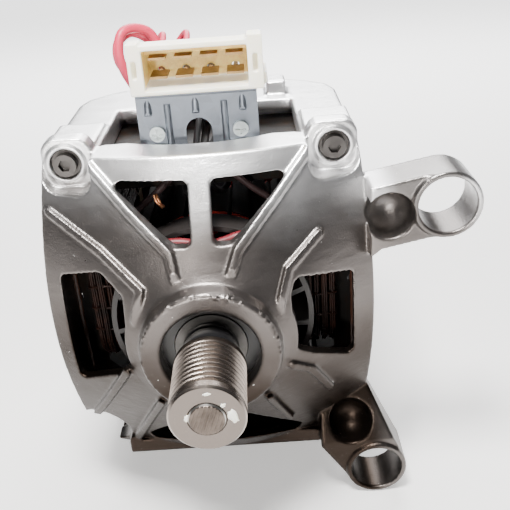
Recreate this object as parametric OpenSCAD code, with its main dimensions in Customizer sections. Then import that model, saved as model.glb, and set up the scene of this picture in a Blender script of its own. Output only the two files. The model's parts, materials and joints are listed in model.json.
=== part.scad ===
// Commutator motor of a front-loading washing machine. Two cast shields clamp a square
// stator pack; the front one has a ribbed cross of arms, six windows and two mounting lugs.
// Lengths are in millimetres. The shaft lies along Y, the belt pulley points to -Y and +Z is up.
// The origin is on the shaft axis, in the middle of the pulley's grooved zone.
// Places along the shaft are depths, counted from the front face of the hub towards +Y.

/* [Pulley and shaft] */
// Outside diameter of the grooved pulley
pulley_od = 23.5; // [21:0.5:26]
// Number of belt grooves
groove_count = 9; // [5:1:9]
// Distance from one groove to the next
groove_pitch = 2.34; // [2.2:0.02:2.5]
// Depth of a groove
groove_depth = 1.8; // [1:0.1:2.2]
// Plain land in front of the grooves
pulley_front_land = 2.8; // [1:0.1:4]
// Plain land behind the grooves
pulley_back_land = 2.6; // [1:0.1:4]
// Distance from the back of the pulley to the face of the hub
pulley_gap = 4.9; // [3:0.1:8]
// Diameter of the shaft inside the pulley
nose_d = 11.2; // [9:0.1:13]
// Length of shaft that stands proud of the pulley
nose_proud = 0.6; // [0.2:0.1:2]

/* [Bearings] */
// Bore of the front ball bearing
front_bearing_bore = 17; // [15:1:18]
// Outside diameter of the front ball bearing
front_bearing_od = 40; // [38:1:41]
// Width of the front ball bearing
front_bearing_w = 12; // [11:0.5:13]
// Bore of the rear ball bearing
rear_bearing_bore = 15; // [13:1:16]
// Outside diameter of the rear ball bearing
rear_bearing_od = 35; // [33:1:36]
// Width of the rear ball bearing
rear_bearing_w = 11; // [10:0.5:12]
// Balls in each bearing
ball_count = 8; // [6:1:8]

/* [Front shield] */
// Width over the bulged sides
body_w = 116; // [112:1:120]
// Height of the top edge above the stator pack
body_top = 9; // [8:0.5:10]
// Drop of the bottom edge below the stator pack
body_bottom = 14; // [13:0.5:15]
// Bulge of each side
side_bulge = 4.5; // [2:0.5:6]
// Outside diameter of the hub's front face
hub_od = 47; // [45:0.5:49]
// Diameter of the hub's front opening
hub_opening = 33; // [31:0.5:35]
// Thickness of the lip in front of the bearing
hub_lip = 6.5; // [5:0.5:8]
// Radius where the cone of the arms begins
flare_r = 29.5; // [27.5:0.5:31]
// Depth where the cone of the arms begins
flare_depth = 9.5; // [8:0.5:11]
// Fall of the cone for each millimetre of radius
cone_slope = 0.62; // [0.56:0.02:0.66]
// Thickness of the arms along the shaft
arm_wall = 4.4; // [3.5:0.1:5.5]
// Thickness of the skirt
skirt_wall = 4.6; // [4:0.1:5]
// Height of the ribs on the arms
rib_rise = 2.2; // [1:0.1:3]
// Width of the ribs on the arms
rib_w = 2.8; // [2:0.1:3.6]
// Depth of the plane where the two shields meet
split_depth = 47.5; // [47:0.5:49]

/* [Lugs] */
// Diameter of the bore in each lug
lug_bore = 19.6; // [16:0.2:20]
// Outside diameter of each lug
lug_od = 23.6; // [23.4:0.2:25]
// Thickness of the lugs along the shaft
lug_t = 18; // [16:0.5:19]
// Depth of the lugs' front face
lug_depth = 22; // [20:0.5:24]
// Upper lug to the right of the shaft
upper_lug_x = 81.5; // [78:0.5:86]
// Upper lug above the shaft
upper_lug_z = 38.5; // [37:0.5:40]
// Lower lug to the right of the shaft
lower_lug_x = 58.5; // [57:0.5:60]
// Lower lug below the shaft
lower_lug_drop = 73; // [72:0.5:76]

/* [Screws] */
// Screws that join the shields, to each side of the shaft
screw_x = 46; // [45:0.5:47]
// Screws that join the shields, above and below the shaft
screw_z = 56; // [55.5:0.5:57]
// Thread diameter
screw_d = 5; // [4:0.5:6]
// Length of the upper screws below the head
screw_len = 22; // [18:1:36]
// Depth of the face that the upper heads press on
seat_depth = 42; // [41:0.5:43]
// Lower screws, to each side of the shaft
low_screw_x = 33; // [32.5:0.5:33.5]
// Lower screws, below the stator pack
low_screw_drop = 7; // [6.5:0.5:7.5]

/* [Stator and rotor] */
// Width of the stator pack
stator_w = 105; // [102:0.5:106]
// Height of the stator pack
stator_h = 102; // [98:0.5:103]
// Corner cut of the stator pack
stator_cut = 16; // [15:0.5:18]
// Length of the stator pack
stack_len = 53; // [50:1:55]
// Diameter of the rotor
rotor_d = 63.4; // [60:0.2:64]
// Air gap between rotor and poles
air_gap = 0.7; // [0.5:0.1:1.2]
// Slots in the rotor
rotor_slots = 24; // [16:2:24]
// Diameter of one strand in the field coils
strand_d = 2.4; // [1.8:0.1:2.4]
// Distance between neighbouring strands
strand_pitch = 2.88; // [2.86:0.02:2.94]
// Turns in each layer of a field coil
coil_turns = 3; // [2:1:3]
// Layers in each field coil
coil_layers = 4; // [2:2:4]
// Diameter of the commutator
commutator_d = 34; // [32:0.5:36]
// Length of the commutator bars
commutator_len = 20; // [18:0.5:21]
// Length of a carbon brush
brush_len = 20; // [16:0.5:22]
// Width of a carbon brush across the shaft
brush_w = 5; // [4:0.5:6]
// Width of a carbon brush along the shaft
brush_h = 12; // [10:0.5:12.5]

/* [Rear shield] */
// Thickness of the rear plate
rear_plate = 5; // [4:0.5:6]
// Depth of the outside of the rear plate
rear_depth = 133; // [132.5:0.5:136]
// Depth where the closed rear skirt begins
rear_skirt_depth = 76; // [72:1:90]

/* [Plug socket] */
// Width of the plug housing
plug_w = 46; // [44:0.5:48]
// Height of the plug housing
plug_h = 18.4; // [18:0.2:20]
// Depth of the plug housing
plug_len = 24; // [22:0.5:28]
// Height of the top of the steel bracket
bracket_top = 74.6; // [72:0.2:78]
// Width of the steel bracket
bracket_w = 42; // [40:0.5:44]
// Thickness of the steel bracket
sheet_t = 1.2; // [0.8:0.1:1.5]
// Thickness of a lead over its insulation
lead_d = 2.4; // [1.8:0.1:2.6]

/* [Hidden] */
$fn = 64;

fit = 0.02;
running = 0.05;
slide_gap = 0.25;
eps = 0.1;

// Places along the shaft, from the middle of the grooved zone
groove_zone = groove_count * groove_pitch;
pulley_len = groove_zone + pulley_front_land + pulley_back_land;
hub_y = groove_zone / 2 + pulley_back_land + pulley_gap;
pulley_depth = -pulley_gap - pulley_len;
front_bearing_depth = hub_lip + fit;
front_bearing_end = front_bearing_depth + front_bearing_w;
hub_end = front_bearing_end + 4;
fan_depth = hub_end + 1.8;
fan_len = 11;
stator_end = split_depth + stack_len;
rotor_depth = split_depth + 1;
rotor_end = stator_end - 1;
end_board_t = 1;
winding_len = 11.4;
commutator_depth = rotor_end + winding_len + 3.2;
commutator_end = commutator_depth + commutator_len;
brush_depth = commutator_depth + commutator_len / 2 + 0.5;
rear_bearing_depth = rear_depth + 6.6;
rear_bearing_end = rear_bearing_depth + rear_bearing_w;
washer_t = 1;
boss_end = rear_bearing_end + washer_t + 2.6;
shaft_end = boss_end + 9;

// Radii of the main turned pieces
hub_r = hub_od / 2;
hub_opening_r = hub_opening / 2;
seat_r = front_bearing_od / 2;
rear_seat_r = rear_bearing_od / 2;
journal_r = front_bearing_bore / 2;
rear_journal_r = rear_bearing_bore / 2;
shoulder_r = journal_r + 1.3;
core_r = journal_r - 0.5;
tail_r = 3.5;
boss_r = rear_seat_r + 4.5;
rotor_r = rotor_d / 2;
bore_r = rotor_r + air_gap;
commutator_r = commutator_d / 2;
outer_r = 110;

// Edges of the body and the lower screws, from the shaft
top_z = stator_h / 2 + body_top;
bottom_z = stator_h / 2 + body_bottom;
low_screw_z = stator_h / 2 + low_screw_drop;

// Cone of the arms: depth of its outer face at a radius
function cone_depth(r) = flare_depth + (r - flare_r) * cone_slope;

function unit(v) = v / norm(v);

// Round corners: each corner of an outline becomes a short arc
function corner_arc(p, c, n, r, steps) =
    let (u = unit(p - c),
         w = unit(n - c),
         half = acos(u * w) / 2,
         centre = c + unit(u + w) * r / sin(half),
         a = c + u * r / tan(half) - centre,
         b = c + w * r / tan(half) - centre)
    [for (i = [0 : steps]) centre + r * unit(a * (steps - i) + b * i)];

function rounded(points, r, steps = 3) =
    let (n = len(points))
    [for (i = [0 : n - 1]) each corner_arc(points[(i + n - 1) % n], points[i], points[(i + 1) % n], r, steps)];

// An outline in X and Z, carried from one depth to another
module plate(from, to) {
    translate([0, hub_y + to, 0])
        rotate([90, 0, 0])
            linear_extrude(to - from)
                children();
}

// A profile of radius and depth, turned about the shaft
module turned() {
    translate([0, hub_y, 0])
        rotate([-90, 0, 0])
            rotate_extrude()
                children();
}

module rod(r, from, to, x = 0, z = 0) {
    translate([x, hub_y + from, z])
        rotate([-90, 0, 0])
            cylinder(r = r, h = to - from);
}

module tube(outer, inner, from, to, x = 0, z = 0) {
    difference() {
        rod(outer, from, to, x, z);
        rod(inner, from - eps, to + eps, x, z);
    }
}

module block(low, high) {
    translate([low[0], hub_y + low[1], low[2]])
        cube([high[0] - low[0], high[1] - low[1], high[2] - low[2]]);
}

// Outline of the shields: four shallow arcs with blunt corners
function bulge_r(chord, bulge) = (chord * chord / 4 + bulge * bulge) / (2 * bulge);
side_r = bulge_r(top_z + bottom_z, side_bulge);
edge_r = bulge_r(body_w, 1.5);
blunt_r = norm([body_w / 2, bottom_z]) - 8;
arc_sides = 400;

module body_outline(inset = 0) {
    intersection() {
        translate([body_w / 2 - side_r, 0])
            circle(r = side_r - inset, $fn = arc_sides);
        translate([side_r - body_w / 2, 0])
            circle(r = side_r - inset, $fn = arc_sides);
        translate([0, top_z - edge_r])
            circle(r = edge_r - inset, $fn = arc_sides);
        translate([-outer_r, inset - bottom_z])
            square([2 * outer_r, 2 * outer_r]);
        circle(r = blunt_r - inset, $fn = arc_sides);
    }
}

// Everything behind the cone of the arms
module behind_cone(lift = 0) {
    turned()
        polygon([[0, flare_depth - lift], [flare_r, flare_depth - lift],
                 [outer_r, cone_depth(outer_r) - lift], [outer_r, split_depth + 60],
                 [0, split_depth + 60]]);
}

module cone_shell(lift = 0, wall = arm_wall) {
    turned()
        polygon([[hub_r - 2, flare_depth - lift], [flare_r, flare_depth - lift],
                 [outer_r, cone_depth(outer_r) - lift], [outer_r, cone_depth(outer_r) + wall],
                 [flare_r, flare_depth + wall], [hub_r - 2, flare_depth + wall]]);
}

// Windows between the arms, seen from the front
bar_half = 3.7;
window_top = top_z - 7.2;
top_window = [[bar_half, 34], [9, 34], [13, 36.5], [28.8, 49.8], [27.2, window_top],
              [bar_half, window_top]];
bottom_window = [[bar_half, 35], [10, 35], [30, 53.5], [28.5, bottom_z - 7], [bar_half, bottom_z - 7]];
left_window = [[-51.5, -23.5], [-51.2, 20.8], [-36, 24.6], [-28.4, 18], [-28.4, -8], [-33, -13.5]];
right_window = [[50, -19], [50, 16], [29.5, 20], [27.8, 15], [28.4, -5], [34.4, -10]];

module windows() {
    polygon(rounded(top_window, 2));
    mirror([1, 0])
        polygon(rounded(top_window, 2));
    rotate(180)
        polygon(rounded(bottom_window, 2));
    mirror([0, 1])
        polygon(rounded(bottom_window, 2));
    polygon(rounded(left_window, 2));
    polygon(rounded(right_window, 2));
}

// Ribs on the arms, each a chain of points with round ends
ribs = [[[-38.5, 59], [-24, 44.5], [-11, 33], [-9, 24]],
        [[38, 59], [23.5, 44.5], [11.5, 33], [7.5, 24]],
        [[-53, 42], [-35, 31.8], [-21.8, 21.6], [-24.5, 11]],
        [[38.5, 32.2], [27.5, 24], [24.5, 15.5], [22.5, 8]],
        [[-30.5, -10.5], [-40, -27], [-51.5, -46.5]],
        [[-20, -24], [-28, -41], [-37.6, -62]],
        [[27, -11], [34, -17], [41, -31.5]],
        [[18.4, -24.9], [25.3, -44]]];

function across(u) = [-u[1], u[0]];

// One side of a chain of points, w away from it, with mitred corners
function flank(p, w) =
    [for (i = [0 : len(p) - 1])
     let (a = unit(i > 0 ? p[i] - p[i - 1] : p[1] - p[0]),
          b = unit(i < len(p) - 1 ? p[i + 1] - p[i] : p[i] - p[i - 1]),
          m = unit(across(a + b)))
     p[i] + m * w / (m * across(a))];

function round_end(c, u, w) = [for (k = [1 : 5]) c + w * (across(u) * cos(30 * k) + u * sin(30 * k))];

module chain(points) {
    w = rib_w / 2;
    n = len(points);
    back = flank(points, -w);
    polygon(concat(flank(points, w),
                   round_end(points[n - 1], unit(points[n - 1] - points[n - 2]), w),
                   [for (i = [n - 1 : -1 : 0]) back[i]],
                   round_end(points[0], unit(points[0] - points[1]), w)));
}

// Ears for the upper screws, and the pocket that reaches the lower left corner
ear_face = 40;
ear_t = split_depth - ear_face;
notch_wall = 3;
ear = [[36.6, 47.4], [54.2, 47.4], [54.2, screw_z + 8.8], [36.6, screw_z + 8.8]];
low_notch = [-48.5, -54];
low_notch_r = 10.5;
low_boss_r = 5.4;
screw_boss_r = 6.8;
// Straight bar under the bottom windows
bar_face = 31.2;
bar_h = 6;
bar_step = 2;
bottom_bar = [[-39.4, -bottom_z], [-39.4, bar_h + bar_step - bottom_z],
              [-35.5, bar_h + bar_step - bottom_z],
              [-34, bar_h - bottom_z], [36, bar_h - bottom_z], [38.5, -bottom_z]];

module ears(grow = 0) {
    for (s = [0, 1])
        mirror([s, 0])
            polygon(rounded([[ear[0][0] - grow, ear[0][1] - grow], [ear[1][0] + grow, ear[1][1] - grow],
                             [ear[2][0] + grow, ear[2][1] + grow], [ear[3][0] - grow, ear[3][1] + grow]],
                            5 + grow, 4));
}

// Where the front shield is open in front of its corners
module corner_openings() {
    ears();
    translate(low_notch)
        circle(r = low_notch_r);
}

module hub_body() {
    back = flare_depth + arm_wall;
    tube_r = seat_r + 4.4;
    turned()
        polygon([[hub_opening_r, 0.8], [hub_opening_r + 0.8, 0], [hub_r - 1, 0], [hub_r, 1],
                 [hub_r + 0.6, 5.5], [hub_r + 3, 7.4], [flare_r, flare_depth], [flare_r, back],
                 [tube_r, back + 2], [tube_r, hub_end], [seat_r + fit, hub_end],
                 [seat_r + fit, hub_lip], [hub_opening_r, hub_lip]]);
}

lug_r = lug_od / 2;
lug_rim = 1.5;
lug_end = lug_depth + lug_t;
upper_pocket = [62.6, 35.4];
lower_pocket = [49, -52.6];
pocket_r = 8.2;
pocket_floor = 3.2;

// Lug arms seen from the front
module upper_arm() {
    polygon([[50, upper_lug_z + 6], [54.4, upper_lug_z + 7], [upper_lug_x - 2, upper_lug_z + lug_r - 0.2],
             [upper_lug_x, upper_lug_z - lug_r], [upper_lug_x - 4.5, upper_lug_z - lug_r - 0.3],
             [60, upper_lug_z - lug_r - 3.6], [57, upper_lug_z - lug_r - 6],
             [50, upper_lug_z - lug_r - 9]]);
}

module lower_arm() {
    polygon([[47.5, -30], [55.6, -38], [lower_lug_x + lug_r - 0.8, -lower_lug_drop + 4],
             [lower_lug_x, -lower_lug_drop], [lower_lug_x - lug_r + 1, -lower_lug_drop - 5],
             [37, 3 - bottom_z], [37.5, -50]]);
}

// The front of the lower arm slopes back from the lug to the dome
ramp_start = 13;
ramp_h = 25.4;
ramp_fall = 13.5;

module arm_ramp() {
    face = hub_y + lug_depth + lug_rim;
    back = hub_y + lug_end + 1;
    low = ramp_start - lower_lug_drop;
    rotate([90, 0, 90])
        linear_extrude(height = outer_r)
            polygon([[face, -outer_r], [face, low], [face + ramp_fall, low + ramp_h],
                     [back, low + ramp_h], [back, -outer_r]]);
}

module lugs() {
    rod(lug_r, lug_depth, lug_end, upper_lug_x, upper_lug_z);
    rod(lug_r, lug_depth, lug_end, lower_lug_x, -lower_lug_drop);
    intersection() {
        plate(lug_depth + lug_rim, lug_end)
            upper_arm();
        union() {
            behind_cone();
            block([body_w / 2 - 2, 0, 0], [outer_r, lug_end + 1, top_z]);
        }
    }
    intersection() {
        plate(lug_depth + lug_rim, lug_end)
            union() {
                lower_arm();
                translate(lower_pocket)
                    circle(r = pocket_r + 3);
            }
        union() {
            behind_cone();
            arm_ramp();
        }
    }
}

module pocket(place) {
    bottom = lug_end - pocket_floor - pocket_r;
    rod(pocket_r, lug_depth - 12, bottom, place[0], place[1]);
    translate([place[0], hub_y + bottom, place[1]])
        sphere(r = pocket_r);
}

// Seats for the steel bracket, on two tongues behind the top edge
post_x = 14.6;
post_half = 4.5;
post_t = 6;
sheet_depth = 50;
tongue_z = stator_h / 2 + 0.8;
tongue_t = 2.6;
post_z = tongue_z + 9.7;
post_top = post_z + 5.5;
post_hole_r = 1.5;

// Scallop in the rear edge of the top bar: depth of its deepest point and radius
scallop_depth = 41;
scallop_r = 50.7;

module bracket_posts() {
    root = scallop_depth - 2;
    post_end = sheet_depth + sheet_t + post_t;
    for (s = [-1, 1]) {
        block([s * post_x - post_half, root, tongue_z],
              [s * post_x + post_half, sheet_depth - 0.4, top_z - 2.5]);
        block([s * post_x - post_half, root, tongue_z],
              [s * post_x + post_half, post_end, tongue_z + tongue_t]);
        block([s * post_x - post_half, sheet_depth + sheet_t, tongue_z],
              [s * post_x + post_half, post_end, post_top]);
    }
}

module front_shield() {
    color([0.72, 0.71, 0.7])
    difference() {
        union() {
            intersection() {
                plate(0, split_depth)
                    difference() {
                        body_outline();
                        windows();
                    }
                cone_shell();
            }
            difference() {
                intersection() {
                    plate(0, split_depth)
                        difference() {
                            body_outline();
                            body_outline(skirt_wall);
                        }
                    behind_cone();
                }
                translate([0, hub_y + scallop_depth + scallop_r, tongue_z])
                    cylinder(r = scallop_r, h = 20);
            }
            hub_body();
            intersection() {
                plate(0, split_depth)
                    intersection() {
                        union() {
                            ears(notch_wall);
                            translate(low_notch)
                                circle(r = low_notch_r + notch_wall);
                        }
                        body_outline();
                    }
                behind_cone();
            }
            plate(ear_face, split_depth)
                ears();
            intersection() {
                plate(0, split_depth)
                    for (c = ribs)
                        chain(c);
                cone_shell(rib_rise, 1);
            }
            plate(bar_face, split_depth)
                polygon(bottom_bar);
            lugs();
            for (s = [-1, 1])
                rod(low_boss_r, split_depth - 9.5, split_depth, s * low_screw_x, -low_screw_z);
            for (s = [-1, 1])
                rod(screw_boss_r, ear_face - 0.8, ear_face + 1, s * screw_x, screw_z);
            bracket_posts();
        }
        plate(-1, ear_face)
            difference() {
                corner_openings();
                for (s = [-1, 1])
                    translate([s * screw_x, screw_z])
                        circle(r = screw_boss_r);
            }
        plate(-1, ear_face - 0.8)
            corner_openings();
        rod(low_notch_r, -1, split_depth + 1, low_notch[0], low_notch[1]);
        for (s = [-1, 1]) {
            rod(5.2, ear_face - 2, seat_depth, s * screw_x, screw_z);
            rod(screw_d / 2 + 0.25, seat_depth - 1, split_depth + 1, s * screw_x, screw_z);
            rod(screw_d / 2 + fit, split_depth - 8, split_depth + 1, s * low_screw_x, -low_screw_z);
            rod(post_hole_r + fit, sheet_depth, sheet_depth + sheet_t + post_t + 1, s * post_x, post_z);
        }
        rod(lug_bore / 2, lug_depth - 1, lug_end + 1, upper_lug_x, upper_lug_z);
        rod(lug_bore / 2, lug_depth - 1, lug_end + 1, lower_lug_x, -lower_lug_drop);
        pocket(upper_pocket);
        pocket(lower_pocket);
        turned()
            translate([seat_r - 1, front_bearing_end + 0.2])
                square([2.2, 1.5]);
    }
}

// Stator pack with two poles, left and right
pole_half = 14.4;
pole_shoe_r = bore_r + 3.6;
yoke_w = stator_w / 2 - 7.2;
yoke_h = stator_h / 2 - 8.4;
yoke_cut = 12.5;

function octagon(w, h, cut) = [[w - cut, h], [w, h - cut], [w, cut - h], [w - cut, -h],
                               [cut - w, -h], [-w, cut - h], [-w, h - cut], [cut - w, h]];

module stator_outline(inset = 0) {
    polygon(octagon(stator_w / 2 - inset, stator_h / 2 - inset, stator_cut - inset * 0.6));
}

rivet_x = stator_w / 2 - 14.5;
rivet_z = stator_h / 2 - 12.5;
rivets = [[rivet_x, rivet_z], [-rivet_x, rivet_z], [rivet_x, -rivet_z], [-rivet_x, -rivet_z]];
rivet_r = 2;

module stator_core() {
    color([0.3, 0.29, 0.29])
    plate(split_depth + fit, stator_end)
        difference() {
            stator_outline();
            difference() {
                polygon(octagon(yoke_w, yoke_h, yoke_cut));
                translate([-stator_w / 2, -pole_half])
                    square([stator_w, 2 * pole_half]);
                intersection() {
                    circle(r = pole_shoe_r);
                    union() {
                        polygon([[0, 0], [60, 52], [60, -52]]);
                        polygon([[0, 0], [-60, 52], [-60, -52]]);
                    }
                }
            }
            circle(r = bore_r);
            for (p = rivets)
                translate(p)
                    circle(r = rivet_r + fit);
            for (a = [0 : 90 : 270])
                rotate(a)
                    translate([(a % 180 == 0 ? stator_w : stator_h) / 2, 0])
                        circle(r = 1.6);
        }
}

module stator_rivets() {
    color([0.6, 0.6, 0.62])
    for (p = rivets) {
        rod(rivet_r, split_depth - 1, stator_end + 1, p[0], p[1]);
        rod(rivet_r + 1.1, split_depth - 1.1, split_depth, p[0], p[1]);
        rod(rivet_r + 1.1, stator_end + fit, stator_end + 1.1, p[0], p[1]);
    }
}

// Insulating frame round each pole, with cheeks that hold the ends of the coil
cheek_x = bore_r + 0.8;
frame_wall = 0.6;
end_wall = 1.6;
cheek_t = 0.6;
cheek_reach = 9;
cheek_half = 19;

module pole_insulator(s) {
    stack_mid = (split_depth + stator_end) / 2;
    half_y = stack_len / 2;
    mirror([s < 0 ? 1 : 0, 0, 0])
        translate([0, hub_y + stack_mid, 0]) {
            difference() {
                translate([cheek_x, -half_y - end_wall, -pole_half - fit - frame_wall])
                    cube([yoke_w - cheek_x - fit, 2 * (half_y + end_wall), 2 * (pole_half + fit + frame_wall)]);
                translate([cheek_x - 1, -half_y - fit, -pole_half - fit])
                    cube([yoke_w, 2 * (half_y + fit), 2 * (pole_half + fit)]);
            }
            for (y = [half_y + fit, -half_y - fit - cheek_reach])
                translate([cheek_x, y, -cheek_half])
                    cube([cheek_t, cheek_reach, 2 * cheek_half]);
        }
}

module pole_insulator_left() {
    color([0.86, 0.84, 0.78])
    pole_insulator(-1);
}

module pole_insulator_right() {
    color([0.86, 0.84, 0.78])
    pole_insulator(1);
}

// A tube of six sides along a chain of points; ref is a direction that the chain never follows
function way(points, i) =
    let (n = len(points))
    unit(points[min(i + 1, n - 1)] - points[max(i - 1, 0)]);

function ring(centre, along, ref, r, sides) =
    let (u = unit(cross(along, ref)),
         w = cross(along, u))
    [for (k = [0 : sides - 1]) centre + r * (u * cos(360 * k / sides) + w * sin(360 * k / sides))];

module swept(points, ref, r, sides = 6) {
    n = len(points);
    skin = [for (i = [0 : n - 1]) each ring(points[i], way(points, i), ref, r, sides)];
    walls = [for (i = [0 : n - 2], k = [0 : sides - 1])
             let (a = i * sides + k, b = i * sides + (k + 1) % sides)
             each [[a, a + sides, b + sides], [a, b + sides, b]]];
    first = [[for (k = [0 : sides - 1]) k]];
    last = [[for (k = [sides - 1 : -1 : 0]) (n - 1) * sides + k]];
    polyhedron(points = skin, faces = concat(walls, first, last));
}

// Field coil: each layer spirals out or in, and climbs to the next in half a turn
loop_rings = 24;
coil_x = cheek_x + cheek_t + 0.25 + strand_d / 2;
coil_corner = strand_d / 2 + 2.8;
coil_half_z = pole_half + fit + frame_wall + 0.25 + strand_d / 2;
coil_half_y = stack_len / 2 + end_wall + 0.25 + strand_d / 2;

function layer_turns(t) = t - coil_turns * floor(t / coil_turns);
function coil_spread(t) =
    let (layer = floor(t / coil_turns),
         part = layer_turns(t))
    strand_pitch * (layer % 2 == 0 ? part : coil_turns - part);
function coil_lift(t) =
    let (k = round(t / coil_turns),
         past = t - k * coil_turns + 0.25)
    strand_pitch * (k == 0 ? 0 : k >= coil_layers ? coil_layers - 1
                    : k - 1 + max(0, min(1, past * 2)));

function coil_point(t) =
    let (spot = round(t * loop_rings) % loop_rings,
         quarter = floor(spot / 6),
         turn = 90 * quarter + 18 * (spot % 6),
         r = coil_corner + coil_spread(t),
         cz = (quarter == 0 || quarter == 3 ? 1 : -1) * (coil_half_z - coil_corner),
         cy = (quarter < 2 ? 1 : -1) * (coil_half_y - coil_corner))
    [coil_x + coil_lift(t), cy + r * sin(turn), cz + r * cos(turn)];

coil_loops = coil_turns * coil_layers;
coil_path = [for (i = [0 : coil_loops * loop_rings - 1]) coil_point(i / loop_rings)];

// Least gap between strands that are at least half a turn apart, from points along the path
function near(i) = min([for (j = [i + loop_rings / 2 : len(coil_path) - 1]) norm(coil_path[i] - coil_path[j])]);
coil_gap = min([for (i = [0 : len(coil_path) - loop_rings / 2 - 1]) near(i)]) - strand_d;
echo(coil_gap = coil_gap);

module field_coil(s) {
    mirror([s < 0 ? 1 : 0, 0, 0])
        translate([0, hub_y + (split_depth + stator_end) / 2, 0])
            swept(coil_path, [1, 0, 0], strand_d / 2);
}

module field_coil_left() {
    color([0.35, 0.16, 0.1])
    field_coil(-1);
}

module field_coil_right() {
    color([0.35, 0.16, 0.1])
    field_coil(1);
}

// Screws and washers
head_r = 3.9;
head_h = 3.2;
washer_r = 5;
screw_washer_t = 1;
low_screw_len = rear_depth - split_depth + 7;

// A screw along Y whose head points to -Y when side is -1
module socket_screw(r, length, head, height, socket) {
    difference() {
        union() {
            cylinder(r = r, h = length);
            translate([0, 0, -height])
                cylinder(r = head, h = height + 0.01);
        }
        translate([0, 0, -height - eps])
            cylinder(r = socket, h = height * 0.6 + eps, $fn = 6);
    }
}

module upper_screws() {
    color([0.75, 0.75, 0.77])
    for (s = [-1, 1])
        translate([s * screw_x, hub_y + seat_depth - screw_washer_t - fit, screw_z])
            rotate([-90, 0, 0])
                socket_screw(screw_d / 2, screw_len, head_r, head_h, 2.2);
}

module lower_screws() {
    color([0.75, 0.75, 0.77])
    for (s = [-1, 1])
        translate([s * low_screw_x, hub_y + rear_depth + screw_washer_t + fit, -low_screw_z])
            rotate([90, 0, 0])
                socket_screw(screw_d / 2, low_screw_len, head_r, head_h, 2.2);
}

module screw_washers() {
    color([0.8, 0.8, 0.8])
    for (s = [-1, 1]) {
        tube(washer_r, screw_d / 2 + 0.15, seat_depth - screw_washer_t, seat_depth - fit, s * screw_x, screw_z);
        tube(washer_r, screw_d / 2 + 0.15, rear_depth + fit, rear_depth + screw_washer_t,
             s * low_screw_x, -low_screw_z);
    }
}

// Rear shield: corner rails, a closed skirt and a plate with the bearing boss
rail_from = 33;
ledge_keep = 1.6;
low_pad_r = 6.4;
// Rounded rear edge as radius and depth
rear_edge = [[80, rear_depth - 31], [77.5, rear_depth - 18], [72.5, rear_depth - 11.5],
             [66, rear_depth - 6.5], [59.5, rear_depth]];
top_gap_end = 92;
// Small boss on the top of the rear shield
nub_x = [25, 33];
nub_from = top_gap_end + 5;
nub_len = 12;
nub_rise = 5.5;

module corner_rails(top) {
    intersection() {
        union() {
            body_outline();
            intersection() {
                ears();
                translate([-body_w / 2, 0])
                    square([body_w, top]);
            }
        }
        for (sx = [0, 1])
            for (sz = [0, 1])
                mirror([sx, 0])
                    mirror([0, sz])
                        translate([rail_from + 2, rail_from])
                            square(60);
    }
    for (s = [-1, 1])
        translate([s * low_screw_x, -low_screw_z])
            circle(r = low_boss_r);
}

module rear_vents() {
    vent = [[3.5, boss_r + 6], [20, boss_r + 4], [33, stator_h / 2 - 3], [3.5, stator_h / 2 - 3]];
    for (a = [0, 180])
        rotate(a) {
            polygon(rounded(vent, 2.5));
            mirror([1, 0])
                polygon(rounded(vent, 2.5));
        }
}

// Everything outside a shallow cone that rounds off the rear corners
module rear_bevel() {
    turned()
        polygon(concat([for (p = rear_edge) p],
                       [[rear_edge[4][0] - 1.6, rear_depth + 1], [outer_r, rear_depth + 1],
                       [outer_r, rear_edge[0][1]]]));
}

holder_x = commutator_r + 2;
holder_len = 29;
holder_end = holder_x + holder_len;
holder_wall = 1.6;
holder_half = brush_w / 2 + slide_gap + holder_wall;
holder_reach = brush_h / 2 + slide_gap + holder_wall;
holder_plate = 2.2;
holder_screw_z = 12;
holder_screw_x = (holder_x + holder_end) / 2 + 2;

module rear_shell() {
    front = rear_depth - rear_plate;
    difference() {
        union() {
            plate(split_depth, split_depth + screw_len + 2)
                corner_rails(top_z + 1);
            plate(split_depth, rear_depth)
                corner_rails(top_z - 2);
            plate(rear_skirt_depth, rear_depth)
                difference() {
                    body_outline();
                    body_outline(skirt_wall);
                }
            block([nub_x[0], nub_from, top_z - 2], [nub_x[1], nub_from + nub_len, top_z + nub_rise]);
            plate(stator_end, front + eps)
                body_outline();
            plate(split_depth, front + eps)
                intersection() {
                    body_outline();
                    translate(low_notch)
                        circle(r = low_notch_r + notch_wall);
                }
            plate(front, rear_depth)
                body_outline();
        }
        rear_bevel();
        block([-rail_from - 2, rear_skirt_depth - 1, stator_h / 2 - 1],
              [rail_from + 2, top_gap_end, top_z + 1]);
        rod(low_notch_r, split_depth - 1, rear_depth + 1, low_notch[0], low_notch[1]);
        plate(split_depth - 1, stator_end)
            stator_outline(-0.08);
        plate(stator_end - eps, front)
            stator_outline(ledge_keep);
    }
}

module rear_gussets() {
    rise = boss_end - rear_depth - 3;
    for (a = [45 : 90 : 315])
        translate([0, hub_y + rear_depth - 1, 0])
            rotate([0, a, 0])
                rotate([0, -90, 0])
                    translate([0, 0, -2])
                        linear_extrude(4)
                            polygon([[boss_r - 1, 0], [58, 0], [58, 2.5], [boss_r - 1, rise]]);
}

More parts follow.
